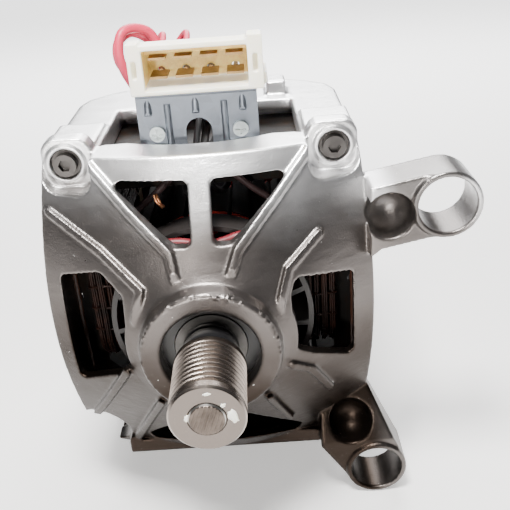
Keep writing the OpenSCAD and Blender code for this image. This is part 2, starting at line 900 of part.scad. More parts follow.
module rear_shield() {
    front = rear_depth - rear_plate;
    color([0.74, 0.74, 0.73])
    difference() {
        union() {
            rear_shell();
            turned()
                polygon([[rear_seat_r - 3, front], [boss_r + 5, front], [boss_r + 5, rear_depth],
                         [boss_r, rear_depth + 5], [boss_r, boss_end - 1.5], [boss_r - 1.5, boss_end],
                         [rear_seat_r - 3, boss_end]]);
            rear_gussets();
            for (s = [-1, 1])
                rod(low_pad_r, stator_end, rear_depth, s * low_screw_x, -low_screw_z);
        }
        plate(front - 1, rear_depth + 1)
            rear_vents();
        for (s = [-1, 1]) {
            block([min(s * (holder_x - 2), s * (holder_end + 2)), front - 1, -holder_half - 0.5],
                  [max(s * (holder_x - 2), s * (holder_end + 2)), rear_depth + eps, holder_half + 0.5]);
            for (t = [-1, 1])
                rod(1.25, front - 1, rear_depth + 1, s * holder_screw_x, t * holder_screw_z);
            rod(screw_d / 2 + fit, split_depth - 1, split_depth + screw_len, s * screw_x, screw_z);
            rod(screw_d / 2 + 0.25, split_depth - 1, rear_depth + 1, s * low_screw_x, -low_screw_z);
            mirrored(s)
                block([holder_end, crimp[1] - 4, 2], [holder_end + 5, crimp[1] + 4, crimp[2] + 6]);
        }
        rod(commutator_r + 1.5, front - 1, rear_bearing_depth - 2);
        rod(rear_seat_r + fit, rear_bearing_depth - 2 - eps, rear_bearing_end + washer_t + eps);
        rod(tail_r + 3, rear_bearing_end, boss_end + 1);
    }
}

// Shaft with its steps, from the nose in the pulley to the tail in the tacho magnet
module shaft() {
    color([0.68, 0.68, 0.7])
    turned()
        polygon([[0, pulley_depth - nose_proud], [nose_d / 2 - 0.5, pulley_depth - nose_proud],
                 [nose_d / 2 - fit, pulley_depth - nose_proud + 0.5], [nose_d / 2 - fit, -pulley_gap + fit],
                 [journal_r - fit, -pulley_gap + fit], [journal_r - fit, front_bearing_end + fit],
                 [shoulder_r, front_bearing_end + fit], [shoulder_r, fan_depth - fit],
                 [core_r - fit, fan_depth - fit], [core_r - fit, rear_bearing_depth - fit],
                 [rear_journal_r - fit, rear_bearing_depth - fit],
                 [rear_journal_r - fit, rear_bearing_end + 0.4],
                 [tail_r, rear_bearing_end + 0.4], [tail_r, shaft_end - 0.5], [tail_r - 0.5, shaft_end],
                 [0, shaft_end]]);
}

// Pulley with V grooves; a short land is left on each crest
crest = 0.3;
pulley_r = pulley_od / 2;

module pulley() {
    start = pulley_depth + pulley_front_land;
    grooves = [for (i = [0 : groove_count - 1])
               let (d = start + i * groove_pitch)
               each [[pulley_r, d + crest / 2], [pulley_r - groove_depth, d + groove_pitch / 2 - 0.15],
                     [pulley_r - groove_depth, d + groove_pitch / 2 + 0.15],
                     [pulley_r, d + groove_pitch - crest / 2]]];
    color([0.66, 0.65, 0.64])
    turned()
        polygon(concat([[nose_d / 2, pulley_depth + 0.4], [nose_d / 2 + 0.4, pulley_depth],
                        [pulley_r - 0.7, pulley_depth], [pulley_r, pulley_depth + 0.7]],
                       grooves,
                       [[pulley_r, -pulley_gap - 0.5], [pulley_r - 0.5, -pulley_gap],
                       [nose_d / 2, -pulley_gap]]));
}

module spacer_ring() {
    color([0.07, 0.07, 0.07])
    turned()
        polygon([[journal_r, -pulley_gap + fit], [pulley_r - 1.4, -pulley_gap + fit],
                 [pulley_r - 0.9, -pulley_gap + 0.6], [pulley_r - 0.9, front_bearing_depth - 2],
                 [journal_r + 1.6, front_bearing_depth - fit], [journal_r, front_bearing_depth - fit]]);
}

// Deep groove ball bearing, in the proportions of the standard series
function ball_r(bore, od) = (od - bore) * 0.148;
function pitch_r(bore, od) = (od + bore) / 4;

module bearing_outer(bore, od, w, from) {
    land = pitch_r(bore, od) + ball_r(bore, od) * 0.62;
    turned()
        difference() {
            translate([land, from])
                square([od / 2 - land, w]);
            translate([pitch_r(bore, od), from + w / 2])
                circle(r = ball_r(bore, od) + running);
            for (d = [from + 0.6, from + w - 1.5])
                translate([land - 1, d])
                    square([1.6, 0.9]);
        }
}

module bearing_inner(bore, od, w, from) {
    land = pitch_r(bore, od) - ball_r(bore, od) * 0.62;
    turned()
        difference() {
            translate([bore / 2, from])
                square([land - bore / 2, w]);
            translate([pitch_r(bore, od), from + w / 2])
                circle(r = ball_r(bore, od) + running);
        }
}

module bearing_balls(bore, od, w, from) {
    for (i = [0 : ball_count - 1])
        translate([0, hub_y + from + w / 2, 0])
            rotate([0, 360 / ball_count * (i + 0.5), 0])
                translate([pitch_r(bore, od), 0, 0])
                    sphere(r = ball_r(bore, od));
}

module bearing_cage(bore, od, w, from) {
    r = ball_r(bore, od);
    mid = pitch_r(bore, od);
    difference() {
        turned()
            translate([mid - r * 0.36, from + w / 2 - r - 0.5])
                square([r * 0.72, 2 * r + 1]);
        for (i = [0 : ball_count - 1])
            translate([0, hub_y + from + w / 2, 0])
                rotate([0, 360 / ball_count * (i + 0.5), 0])
                    translate([mid - r, 0, 0])
                        rotate([0, 90, 0])
                            cylinder(r = r + 0.12, h = 2 * r);
    }
}

module bearing_seals(bore, od, w, from) {
    inner = pitch_r(bore, od) - ball_r(bore, od) * 0.62 + 0.3;
    outer = pitch_r(bore, od) + ball_r(bore, od) * 0.62 + 0.6 - fit;
    for (d = [from + 0.62, from + w - 1.48])
        turned()
            translate([inner, d])
                square([outer - inner, 0.86]);
}

module front_bearing_outer_ring() {
    color([0.6, 0.6, 0.62])
    bearing_outer(front_bearing_bore, front_bearing_od, front_bearing_w, front_bearing_depth);
}

module front_bearing_inner_ring() {
    color([0.6, 0.6, 0.62])
    bearing_inner(front_bearing_bore, front_bearing_od, front_bearing_w, front_bearing_depth);
}

module front_bearing_balls() {
    color([0.8, 0.8, 0.82])
    bearing_balls(front_bearing_bore, front_bearing_od, front_bearing_w, front_bearing_depth);
}

module front_bearing_cage() {
    color([0.6, 0.5, 0.3])
    bearing_cage(front_bearing_bore, front_bearing_od, front_bearing_w, front_bearing_depth);
}

module front_bearing_seals() {
    color([0.1, 0.1, 0.1])
    bearing_seals(front_bearing_bore, front_bearing_od, front_bearing_w, front_bearing_depth);
}

module rear_bearing_outer_ring() {
    color([0.6, 0.6, 0.62])
    bearing_outer(rear_bearing_bore, rear_bearing_od, rear_bearing_w, rear_bearing_depth);
}

module rear_bearing_inner_ring() {
    color([0.6, 0.6, 0.62])
    bearing_inner(rear_bearing_bore, rear_bearing_od, rear_bearing_w, rear_bearing_depth);
}

module rear_bearing_balls() {
    color([0.8, 0.8, 0.82])
    bearing_balls(rear_bearing_bore, rear_bearing_od, rear_bearing_w, rear_bearing_depth);
}

module rear_bearing_cage() {
    color([0.6, 0.5, 0.3])
    bearing_cage(rear_bearing_bore, rear_bearing_od, rear_bearing_w, rear_bearing_depth);
}

module rear_bearing_seals() {
    color([0.1, 0.1, 0.1])
    bearing_seals(rear_bearing_bore, rear_bearing_od, rear_bearing_w, rear_bearing_depth);
}

// Split ring that keeps the front bearing in its seat
module front_circlip() {
    color([0.25, 0.25, 0.26])
    difference() {
        tube(seat_r + 1, seat_r - 2, front_bearing_end + 0.3, front_bearing_end + 1.6);
        block([-4, 0, -seat_r - 3], [4, 40, 0]);
    }
}

module wave_washer() {
    color([0.55, 0.55, 0.56])
    tube(rear_seat_r - 0.3, rear_seat_r - 4, rear_bearing_end + fit, rear_bearing_end + washer_t);
}

// Fan with slanted blades between a hub and a ring
fan_r = 36;
fan_ring_t = 1.8;
fan_hub_r = 13;
blade_count = 15;
blade_t = 1.4;

module cooling_fan() {
    color([0.36, 0.33, 0.31]) {
        tube(fan_r, fan_r - fan_ring_t, fan_depth, fan_depth + fan_len);
        tube(fan_hub_r, core_r, fan_depth, fan_depth + fan_len - 0.3);
        intersection() {
            tube(fan_r - 0.5, fan_hub_r - 0.5, fan_depth, fan_depth + fan_len);
            for (i = [0 : blade_count - 1])
                translate([0, hub_y + fan_depth + fan_len / 2, 0])
                    rotate([0, 360 / blade_count * i, 0])
                        rotate([38, 0, 0])
                            translate([fan_hub_r - 1, -fan_len, -blade_t / 2])
                                cube([fan_r - fan_hub_r, 2 * fan_len, blade_t]);
        }
    }
}

// Rotor pack with round-bottomed slots that are nearly closed at the air gap
slot_r = rotor_d * 0.041;
slot_place = rotor_r - slot_r - 1.6;
slot_mouth = 1.6;

module rotor_slots_cut(grow = 0) {
    for (i = [0 : rotor_slots - 1])
        rotate(360 / rotor_slots * i) {
            translate([slot_place, 0])
                circle(r = slot_r + grow);
            translate([slot_place - slot_r * 2, 0])
                circle(r = slot_r * 0.72 + grow);
            polygon([[slot_place, slot_r + grow], [slot_place - slot_r * 2, slot_r * 0.72 + grow],
                     [slot_place - slot_r * 2, -slot_r * 0.72 - grow], [slot_place, -slot_r - grow]]);
            translate([slot_place, -slot_mouth / 2 - grow])
                square([slot_r + 3, slot_mouth + 2 * grow]);
        }
}

module rotor_core() {
    color([0.38, 0.37, 0.37])
    plate(rotor_depth, rotor_end)
        difference() {
            circle(r = rotor_r);
            circle(r = core_r);
            rotor_slots_cut();
        }
}

module rotor_end_boards() {
    color([0.6, 0.2, 0.16])
    for (d = [rotor_depth - end_board_t - fit, rotor_end + fit])
        plate(d, d + end_board_t)
            difference() {
                circle(r = rotor_r - 0.4);
                circle(r = core_r);
                rotor_slots_cut(0.1);
            }
}

// Heads of the rotor winding: a round-shouldered ring with a bundle for each slot
head_in = core_r + 2.5;
head_out = rotor_r - 4.5;

module winding_head(from, len) {
    turned()
        polygon(rounded([[core_r, from], [head_out, from], [head_out, from + len * 0.62],
                         [head_out - 5, from + len], [head_in, from + len],
                         [core_r, from + len * 0.8]], 2, 3));
    for (i = [0 : rotor_slots - 1])
        translate([0, hub_y + from + len * 0.44, 0])
            rotate([0, 360 / rotor_slots * i, 0])
                translate([head_out - 1.2, 0, 0])
                    sphere(r = 2.6);
}

module rotor_winding_front() {
    color([0.62, 0.14, 0.1])
    mirror([0, 1, 0])
        translate([0, -2 * (hub_y + rotor_depth - end_board_t - 2 * fit), 0])
            winding_head(rotor_depth - end_board_t - 2 * fit, winding_len - 0.6);
}

module rotor_winding_rear() {
    color([0.62, 0.14, 0.1])
    winding_head(rotor_end + end_board_t + 2 * fit, winding_len - 0.6);
}

// Commutator: one bar for each slot, hooked at the winding end
bar_t = 4;

module commutator_bars() {
    color([0.72, 0.42, 0.25])
    difference() {
        union() {
            tube(commutator_r, commutator_r - bar_t, commutator_depth, commutator_end);
            tube(commutator_r + 1.6, commutator_r - bar_t, commutator_depth, commutator_depth + 2.2);
        }
        for (i = [0 : rotor_slots / 2 - 1])
            translate([0, hub_y + commutator_depth - 1, 0])
                rotate([0, 180 / rotor_slots * (2 * i + 1), 0])
                    translate([-commutator_r - 3, 0, -0.35])
                        cube([2 * commutator_r + 6, commutator_len + 2, 0.7]);
    }
}

module commutator_moulding() {
    color([0.24, 0.13, 0.09])
    turned()
        polygon([[core_r, commutator_depth - 2], [commutator_r - 1.2, commutator_depth - 2],
                 [commutator_r - 1.2, commutator_depth - fit],
                 [commutator_r - bar_t - fit, commutator_depth - fit],
                 [commutator_r - bar_t - fit, commutator_end + fit],
                 [commutator_r - 1.2, commutator_end + fit],
                 [commutator_r - 1.2, commutator_end + 0.9], [core_r, commutator_end + 0.9]]);
}

// Brush gear, drawn for the right side and mirrored for the left
brush_x = commutator_r + 0.3;
spring_gap = 0.3;
spring_from = brush_x + brush_len + spring_gap;
spring_to = holder_end - holder_wall - spring_gap;

module mirrored(s) {
    mirror([s < 0 ? 1 : 0, 0, 0])
        children();
}

module brush_holder() {
    difference() {
        union() {
            block([holder_x, brush_depth - holder_reach, -holder_half],
                  [holder_end, brush_depth + holder_reach, holder_half]);
            block([holder_x + 8.2, brush_depth + holder_reach - 1, -holder_half],
                  [holder_end, rear_depth + 1, holder_half]);
            block([holder_x + 8.2, rear_depth + fit, -holder_screw_z - 4],
                  [holder_end - 2, rear_depth + holder_plate, holder_screw_z + 4]);
        }
        block([holder_x - 1, brush_depth - brush_h / 2 - slide_gap, -brush_w / 2 - slide_gap],
              [holder_end - holder_wall, brush_depth + brush_h / 2 + slide_gap, brush_w / 2 + slide_gap]);
        for (t = [-1, 1])
            rod(1.6, rear_depth - 1, rear_depth + holder_plate + 1, holder_screw_x, t * holder_screw_z);
    }
}

module brush_holder_left() {
    color([0.13, 0.13, 0.14])
    mirrored(-1)
        brush_holder();
}

module brush_holder_right() {
    color([0.13, 0.13, 0.14])
    mirrored(1)
        brush_holder();
}

module brush() {
    difference() {
        block([brush_x - 1, brush_depth - brush_h / 2, -brush_w / 2],
              [brush_x + brush_len, brush_depth + brush_h / 2, brush_w / 2]);
        rod(brush_x, brush_depth - brush_h, brush_depth + brush_h);
    }
}

module brush_left() {
    color([0.12, 0.12, 0.12])
    mirrored(-1)
        brush();
}

module brush_right() {
    color([0.12, 0.12, 0.12])
    mirrored(1)
        brush();
}

spring_curls = 6;
spring_wire = 0.7;
spring_r = brush_w / 2 - spring_wire / 2 - 0.1;

module brush_spring() {
    pitch = (spring_to - spring_from - spring_wire) / spring_curls;
    points = [for (i = [0 : spring_curls * 8])
              [spring_from + spring_wire / 2 + pitch * i / 8,
               hub_y + brush_depth + spring_r * cos(45 * i), spring_r * sin(45 * i)]];
    swept(points, [1, 0, 0], spring_wire / 2);
}

module brush_spring_left() {
    color([0.8, 0.8, 0.8])
    mirrored(-1)
        brush_spring();
}

module brush_spring_right() {
    color([0.8, 0.8, 0.8])
    mirrored(1)
        brush_spring();
}

tab_t = 0.8;
crimp = [holder_end + 1.5, rear_depth - 11, 4];

module brush_terminals() {
    color([0.85, 0.7, 0.35])
    for (s = [-1, 1])
        mirrored(s)
            difference() {
                union() {
                    block([holder_end + fit, brush_depth - 5, -3.15],
                          [holder_end + tab_t, rear_depth + 7, 3.15]);
                    block([holder_end + fit, crimp[1] - lead_d / 2 - 0.5, 3.1],
                          [crimp[0] + lead_d / 2 + 0.5, crimp[1] + lead_d / 2 + 0.5, crimp[2] + 3]);
                }
                translate([crimp[0], hub_y + crimp[1], crimp[2]])
                    cylinder(r = lead_d / 2 + fit, h = 9);
            }
}

module brush_holder_screws() {
    color([0.75, 0.75, 0.77])
    for (s = [-1, 1])
        for (t = [-1, 1])
            translate([s * holder_screw_x, hub_y + rear_depth + holder_plate + fit, t * holder_screw_z])
                rotate([90, 0, 0])
                    socket_screw(1.25 - fit, holder_plate + rear_plate + 1, 2.6, 1.8, 1.2);
}

// Speed pickup behind the rear bearing
magnet_r = 7.5;
coil_in = magnet_r + 1.2;
coil_out = boss_r - 4;
cap_end = shaft_end + 2.6;
tacho_len = 8.4;
cap_slot = 8;

module tacho_magnet() {
    color([0.2, 0.2, 0.21])
    tube(magnet_r, tail_r + fit, boss_end + 0.8, shaft_end - 0.6);
}

module tacho_coil() {
    color([0.88, 0.86, 0.8])
    turned()
        difference() {
            translate([coil_in, boss_end + fit])
                square([coil_out - coil_in, tacho_len]);
            translate([coil_out - 2.4, boss_end + 1.5])
                square([3, 5.4]);
        }
}

module tacho_cap() {
    color([0.1, 0.1, 0.11])
    difference() {
        turned()
            polygon([[0, cap_end], [boss_r - 3, cap_end], [boss_r - 1.6, cap_end - 1.2],
                     [boss_r - 1.6, boss_end + fit], [boss_r - 3.2, boss_end + fit],
                     [boss_r - 3.2, cap_end - 1.6], [0, cap_end - 1.6]]);
        block([-cap_slot / 2, boss_end - 1, -boss_r],
              [cap_slot / 2, boss_end + cap_slot / 2, cap_slot - boss_r]);
    }
}

// Spring wire that holds the cap on the boss
clip_wire = 0.8;
clip_from = rear_depth + 8;

module tacho_clip() {
    color([0.75, 0.75, 0.77])
    for (s = [-1, 1]) {
        rod(clip_wire, clip_from, cap_end + 2 * clip_wire, s * (boss_r + clip_wire + 0.05), 0);
        translate([s * (boss_r + clip_wire + 0.05), hub_y + cap_end + clip_wire + fit, 0])
            rotate([0, s * -90, 0])
                cylinder(r = clip_wire, h = boss_r + clip_wire + 0.05);
    }
}

// Steel bracket with stiffening beads, an arched cut-out and a flange for the plug housing
bead_x = [-10.3, 9.4];
dart_x = [-17, -0.5, 15.8];
arch_r = 4.6;
arch_z = post_z - 0.1;

module plug_bracket() {
    half = bracket_w / 2;
    color([0.7, 0.72, 0.76]) {
        difference() {
            plate(sheet_depth, sheet_depth + sheet_t - fit)
                difference() {
                    translate([-half, tongue_z + 3])
                        square([bracket_w, bracket_top - tongue_z - 3]);
                    translate([0, arch_z])
                        circle(r = arch_r);
                    translate([-arch_r, tongue_z])
                        square([2 * arch_r, arch_z - tongue_z]);
                    for (s = [-1, 1])
                        translate([s * post_x, post_z])
                            circle(r = 1.8);
                }
            block([-half - 1, sheet_depth - 1, bracket_top - 0.6],
                  [half + 1, sheet_depth + 0.6, bracket_top + 1]);
        }
        block([-half, sheet_depth + 0.6, bracket_top - sheet_t],
              [half, sheet_depth + plug_len - 1, bracket_top]);
        for (x = bead_x)
            intersection() {
                translate([x, hub_y + sheet_depth + 0.5, tongue_z + 4])
                    cylinder(r = 1.3, h = bracket_top - tongue_z - 7);
                block([x - 2, sheet_depth - 2, 0], [x + 2, sheet_depth + 0.1, 90]);
            }
        for (x = dart_x)
            intersection() {
                translate([x, hub_y + sheet_depth + 1.5, bracket_top - 1])
                    rotate([-28, 0, 0])
                        translate([0, 0, -6])
                            cylinder(r = 1.2, h = 8);
                block([x - 2, sheet_depth - 2, bracket_top - 8],
                      [x + 2, sheet_depth + 0.1, bracket_top - 0.7]);
            }
    }
}

module plug_bracket_screws() {
    color([0.78, 0.79, 0.82])
    for (s = [-1, 1])
        difference() {
            union() {
                rod(2.7, sheet_depth - 1.8, sheet_depth - fit, s * post_x, post_z);
                rod(1.5, sheet_depth - 1, sheet_depth + 7, s * post_x, post_z);
            }
            block([s * post_x - 1.9, sheet_depth - 2, post_z - 0.35],
                  [s * post_x + 1.9, sheet_depth - 0.9, post_z + 0.35]);
            block([s * post_x - 0.35, sheet_depth - 2, post_z - 1.9],
                  [s * post_x + 0.35, sheet_depth - 0.9, post_z + 1.9]);
        }
}

plug_back = sheet_depth + plug_len;
lead_grip = 4;

// Plug housing: an open box with end blocks and eight terminal cells
plug_mid = 0.8;
plug_floor = bracket_top + fit;
mouth_w = 35.6;
mouth_low = plug_floor + 1.6;
mouth_high = plug_floor + plug_h - 3.3;
plug_rim = 8;
mouth_len = plug_len - 8;
cell_pitch = mouth_w / 4;
cell_z = [mouth_low + 3.4, mouth_high - 3.6];

module plug_housing() {
    left = plug_mid - plug_w / 2;
    right = plug_mid + plug_w / 2;
    color([0.9, 0.86, 0.74])
    difference() {
        union() {
            block([left, sheet_depth, plug_floor],
                  [right, sheet_depth + plug_rim, plug_floor + plug_h - 1.4]);
            block([left + 1, sheet_depth, plug_floor],
                  [right - 1, sheet_depth + plug_len, cell_z[1] + 2.6]);
            block([right - 5.2, sheet_depth, plug_floor],
                  [right, sheet_depth + plug_rim, plug_floor + plug_h]);
            block([left, sheet_depth, plug_floor],
                  [left + 4.4, sheet_depth + plug_rim, plug_floor + plug_h - 0.6]);
            block([right, sheet_depth + 3, plug_floor + 1],
                  [right + 1.2, sheet_depth + 18, plug_floor + 5]);
        }
        block([plug_mid - mouth_w / 2, sheet_depth - 1, mouth_low],
              [plug_mid + mouth_w / 2, sheet_depth + plug_rim - 1.2, mouth_high]);
        block([plug_mid - mouth_w / 2, sheet_depth - 1, mouth_low],
              [plug_mid + mouth_w / 2, sheet_depth + mouth_len, cell_z[1] + 1.2]);
        for (i = [0 : 3])
            for (z = cell_z)
                translate([plug_mid + (i - 1.5) * cell_pitch, hub_y + sheet_depth + mouth_len - 1, z])
                    rotate([-90, 0, 0])
                        cylinder(r = lead_d / 2 + 0.3, h = plug_len);
        block([left + 1.4, sheet_depth - 1, plug_floor + 6], [left + 3, sheet_depth + 9, plug_floor + 12]);
        block([right - 3.4, sheet_depth - 1, plug_floor + 6],
              [right - 1.8, sheet_depth + 9, plug_floor + 12]);
    }
}

module plug_terminals() {
    color([0.8, 0.62, 0.3])
    for (i = [0 : 3])
        for (z = cell_z) {
            x = plug_mid + (i - 1.5) * cell_pitch;
            block([x - 3, sheet_depth + mouth_len - 11, z - 0.4],
                  [x + 3, sheet_depth + mouth_len - fit, z + 0.4]);
            rod(lead_d / 2 - 0.3, sheet_depth + mouth_len - 1, plug_back - lead_grip - fit, x, z);
        }
}

// Leads from the plug to the coils and to the brush terminals
cell_x = [for (i = [0 : 3]) plug_mid + (i - 1.5) * cell_pitch];
red_right_route = [[-3.7, 84, 89], [-6, 88, 87], [-11, 89, 80], [-13, 86, 71], [-10, 80, 65.4],
                   [-3, 72.5, 63.2],
                   [4, 64.5, 60.8], [8, 58, 56.8], [8.5, 54, 54.1], [8.6, 50.5, 53], [9, 47, 51.6],
                   [11, 43.6, 47.5],
                   [18, 43, 41], [26, 43, 35], [31.6, 43, 28], [32.6, 43, 23], [32.6, 43, 19.05]];
red_left_route = [[-12.6, 84, 89], [-15, 88, 86], [-18.5, 89, 78], [-18, 84, 69], [-15, 77, 63.5],
                  [-11, 70, 60.5],
                  [-9, 62, 57.8], [-8.6, 56, 55.2], [-8.4, 52, 53.3], [-9, 47.5, 52], [-11, 43.6, 47.5],
                  [-18, 43, 41], [-26, 43, 35], [-31.6, 43, 28], [-32.6, 43, 23], [-32.6, 43, 19.05]];

module red_leads() {
    color([0.8, 0.12, 0.16]) {
        lead([cell_x[1], cell_z[1]], red_right_route);
        lead([cell_x[0], cell_z[1]], red_left_route);
    }
}

black_right_route = [[5.2, 84, 81], [8, 88, 79], [11, 88.5, 72], [10.6, 84, 65.5], [8.4, 77.5, 62.3],
                     [7.2, 72, 59],
                     [5.8, 66, 56.2], [4.2, 60, 54.3], [2.8, 55.5, 53.4], [1.8, 51, 52.9],
                     [1.8, 46.6, 51], [2, 43.6, 46.5],
                     [3.6, 45.2, 41.4], [6.4, 51, 38.4], [8, 60, 38], [8, 82, 38], [9, 99, 38],
                     [14, 107, 37.4],
                     [26, 112, 33], [38, 117, 25], [46, 121, 18.5], [49.5, 122, 12], [49.5, 122, 8],
                     [49.5, 122, 4]];
black_left_route = [[-3.7, 84, 81], [-4.4, 88.5, 78], [-2.6, 88.5, 71.5], [-1, 84, 66], [-1, 77, 60.8],
                    [-1.8, 69, 57.6], [-2.2, 61, 55], [-2, 55, 53.3], [-1.8, 51, 52.9], [-1.8, 46.6, 51],
                    [-2, 43.6, 46.5], [-3.6, 45.2, 41.4], [-6.4, 51, 38.4], [-8, 60, 38], [-8, 82, 38],
                    [-9, 99, 38], [-14, 107, 37.4], [-26, 112, 33], [-38, 117, 25], [-46, 121, 18.5],
                    [-49.5, 122, 12], [-49.5, 122, 8], [-49.5, 122, 4]];

module black_leads() {
    color([0.1, 0.1, 0.11]) {
        lead([cell_x[2], cell_z[0]], black_right_route);
        lead([cell_x[1], cell_z[0]], black_left_route);
    }
}

// Smooth the route: three rings between neighbouring points
function bend(p, t) =
    let (i = min(floor(t), len(p) - 2),
         f = t - i,
         a = p[max(i - 1, 0)],
         b = p[i],
         c = p[i + 1],
         d = p[min(i + 2, len(p) - 1)])
    0.5 * (2 * b + (c - a) * f + (2 * a - 5 * b + 4 * c - d) * f * f + (3 * b - a - 3 * c + d) * f * f * f);

module lead(cell, route) {
    start = [[cell[0], plug_back - lead_grip, cell[1]], [cell[0], plug_back + 2, cell[1]]];
    points = concat(start, [for (p = route) p]);
    steps = 2;
    path = [for (i = [0 : (len(points) - 1) * steps]) bend(points, i / steps) + [0, hub_y, 0]];
    swept(path, [1, 0.2, 0.1], lead_d / 2, 8);
}

front_shield();
rear_shield();
upper_screws();
lower_screws();
screw_washers();
stator_core();
stator_rivets();
pole_insulator_left();
pole_insulator_right();
field_coil_left();
field_coil_right();
shaft();
pulley();
spacer_ring();
front_bearing_outer_ring();
front_bearing_inner_ring();
front_bearing_balls();
front_bearing_cage();
front_bearing_seals();
front_circlip();
rear_bearing_outer_ring();
rear_bearing_inner_ring();
rear_bearing_balls();
rear_bearing_cage();
rear_bearing_seals();
wave_washer();
cooling_fan();
rotor_core();
rotor_end_boards();
rotor_winding_front();
rotor_winding_rear();
commutator_bars();
commutator_moulding();
brush_holder_left();
brush_holder_right();
brush_left();
brush_right();
brush_spring_left();
brush_spring_right();
brush_terminals();
brush_holder_screws();
tacho_magnet();
tacho_coil();
tacho_cap();
tacho_clip();
plug_bracket();
plug_bracket_screws();
plug_housing();
plug_terminals();
red_leads();
black_leads();
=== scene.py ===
import bpy
import json
import math
import random
from mathutils import Matrix, Vector, noise


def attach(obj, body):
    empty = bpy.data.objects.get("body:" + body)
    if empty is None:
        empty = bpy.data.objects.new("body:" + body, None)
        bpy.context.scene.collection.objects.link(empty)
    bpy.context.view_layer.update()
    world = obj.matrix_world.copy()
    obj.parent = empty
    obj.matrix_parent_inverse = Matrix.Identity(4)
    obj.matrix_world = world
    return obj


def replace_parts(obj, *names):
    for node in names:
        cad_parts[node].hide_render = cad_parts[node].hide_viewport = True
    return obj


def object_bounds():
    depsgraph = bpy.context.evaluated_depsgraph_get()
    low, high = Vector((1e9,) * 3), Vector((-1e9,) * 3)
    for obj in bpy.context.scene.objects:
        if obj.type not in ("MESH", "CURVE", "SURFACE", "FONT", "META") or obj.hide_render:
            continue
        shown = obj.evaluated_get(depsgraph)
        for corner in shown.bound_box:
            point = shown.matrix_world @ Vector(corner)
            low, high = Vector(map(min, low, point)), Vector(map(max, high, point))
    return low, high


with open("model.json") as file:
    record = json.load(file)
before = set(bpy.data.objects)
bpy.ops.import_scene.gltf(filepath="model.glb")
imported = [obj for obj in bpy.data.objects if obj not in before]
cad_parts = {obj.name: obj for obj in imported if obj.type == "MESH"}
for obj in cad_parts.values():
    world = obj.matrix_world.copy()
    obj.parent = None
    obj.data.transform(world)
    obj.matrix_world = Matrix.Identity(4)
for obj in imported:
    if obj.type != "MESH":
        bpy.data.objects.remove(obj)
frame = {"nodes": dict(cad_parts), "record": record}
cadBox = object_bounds()
print("frame loaded")

mm = 0.001
hubY = 18.03  # the hub's front face; depths count from it towards +Y


# The camera stands where the photograph was taken, in millimetres and degrees
cameraSettings = {
    "spot": (20.204, -184.907, 138.34),
    "azimuth": 0.914,
    "elevation": 26.682,
    "roll": -4.326,
    "lens": 52.517,
}


def makeCamera(s):
    az, el, roll = (math.radians(s[k]) for k in ("azimuth", "elevation", "roll"))
    back = Vector((math.sin(az) * math.cos(el), -math.cos(az) * math.cos(el), math.sin(el)))
    level = (-back).cross(Vector((0, 0, 1))).normalized()
    up = level.cross(-back)
    right = math.cos(roll) * level + math.sin(roll) * up
    top = -math.sin(roll) * level + math.cos(roll) * up
    data = bpy.data.cameras.new("camera")
    data.lens = s["lens"]
    data.sensor_width = 36
    data.clip_start = 0.01
    data.clip_end = 10
    camera = bpy.data.objects.new("camera", data)
    bpy.context.collection.objects.link(camera)
    place = Matrix((right, top, back)).transposed().to_4x4()
    place.translation = Vector(s["spot"]) * mm
    camera.matrix_world = place
    bpy.context.scene.camera = camera


stageSettings = {
    "floorColour": (0.86, 0.85, 0.84, 1),
    "farColour": (4.0, 4.0, 4.0, 1),
    "farRange": (100.0, 900.0),
    "floorGlow": 0.6,
    "floorHalf": 3.0,
    "floorGap": 0.0002,
    "worldColour": (0.92, 0.93, 1.0, 1),
    "worldStrength": 0.1,
}


def makeStage(s):
    mesh = bpy.data.meshes.new("floor")
    low = cadBox[0][2] - s["floorGap"]
    r = s["floorHalf"]
    mesh.from_pydata([(-r, -r, low), (r, -r, low), (r, r, low), (-r, r, low)], [], [(0, 1, 2, 3)])
    floor = bpy.data.objects.new("floor", mesh)
    bpy.context.collection.objects.link(floor)
    world = bpy.data.worlds.new("studio")
    world.use_nodes = True
    world.node_tree.nodes["Background"].inputs["Color"].default_value = s["worldColour"]
    world.node_tree.nodes["Background"].inputs["Strength"].default_value = s["worldStrength"]
    bpy.context.scene.world = world
    return floor


lightSettings = [
    {"name": "behind", "spot": (0.05, 0.75, 0.65), "aim": (0, 0.06, 0.04), "size": 0.7, "watts": 19,
     "colour": (1, 1, 1)},
    {"name": "ceiling", "spot": (-0.03, -0.08, 0.44), "aim": (0, 0.03, 0.04), "size": 0.12, "watts": 6.5,
     "colour": (1, 0.99, 0.97)},
    {"name": "front", "spot": (-0.2, -0.52, 0.36), "aim": (0, 0.02, 0), "size": 0.08, "watts": 0.8,
     "colour": (1, 0.95, 0.9)},
    {"name": "low", "spot": (-0.14, -0.58, 0.09), "aim": (0, 0.02, 0), "size": 0.05, "watts": 2.6,
     "colour": (1, 0.97, 0.93)},
]


def makeLight(s):
    data = bpy.data.lights.new(s["name"], "AREA")
    data.size = s["size"]
    data.energy = s["watts"]
    data.color = s["colour"]
    light = bpy.data.objects.new(s["name"], data)
    light.location = s["spot"]
    light.rotation_euler = (Vector(s["spot"]) - Vector(s["aim"])).to_track_quat("Z", "Y").to_euler()
    bpy.context.collection.objects.link(light)


makeCamera(cameraSettings)
floor = makeStage(stageSettings)
for item in lightSettings:
    makeLight(item)
print("camera, floor and lights made")


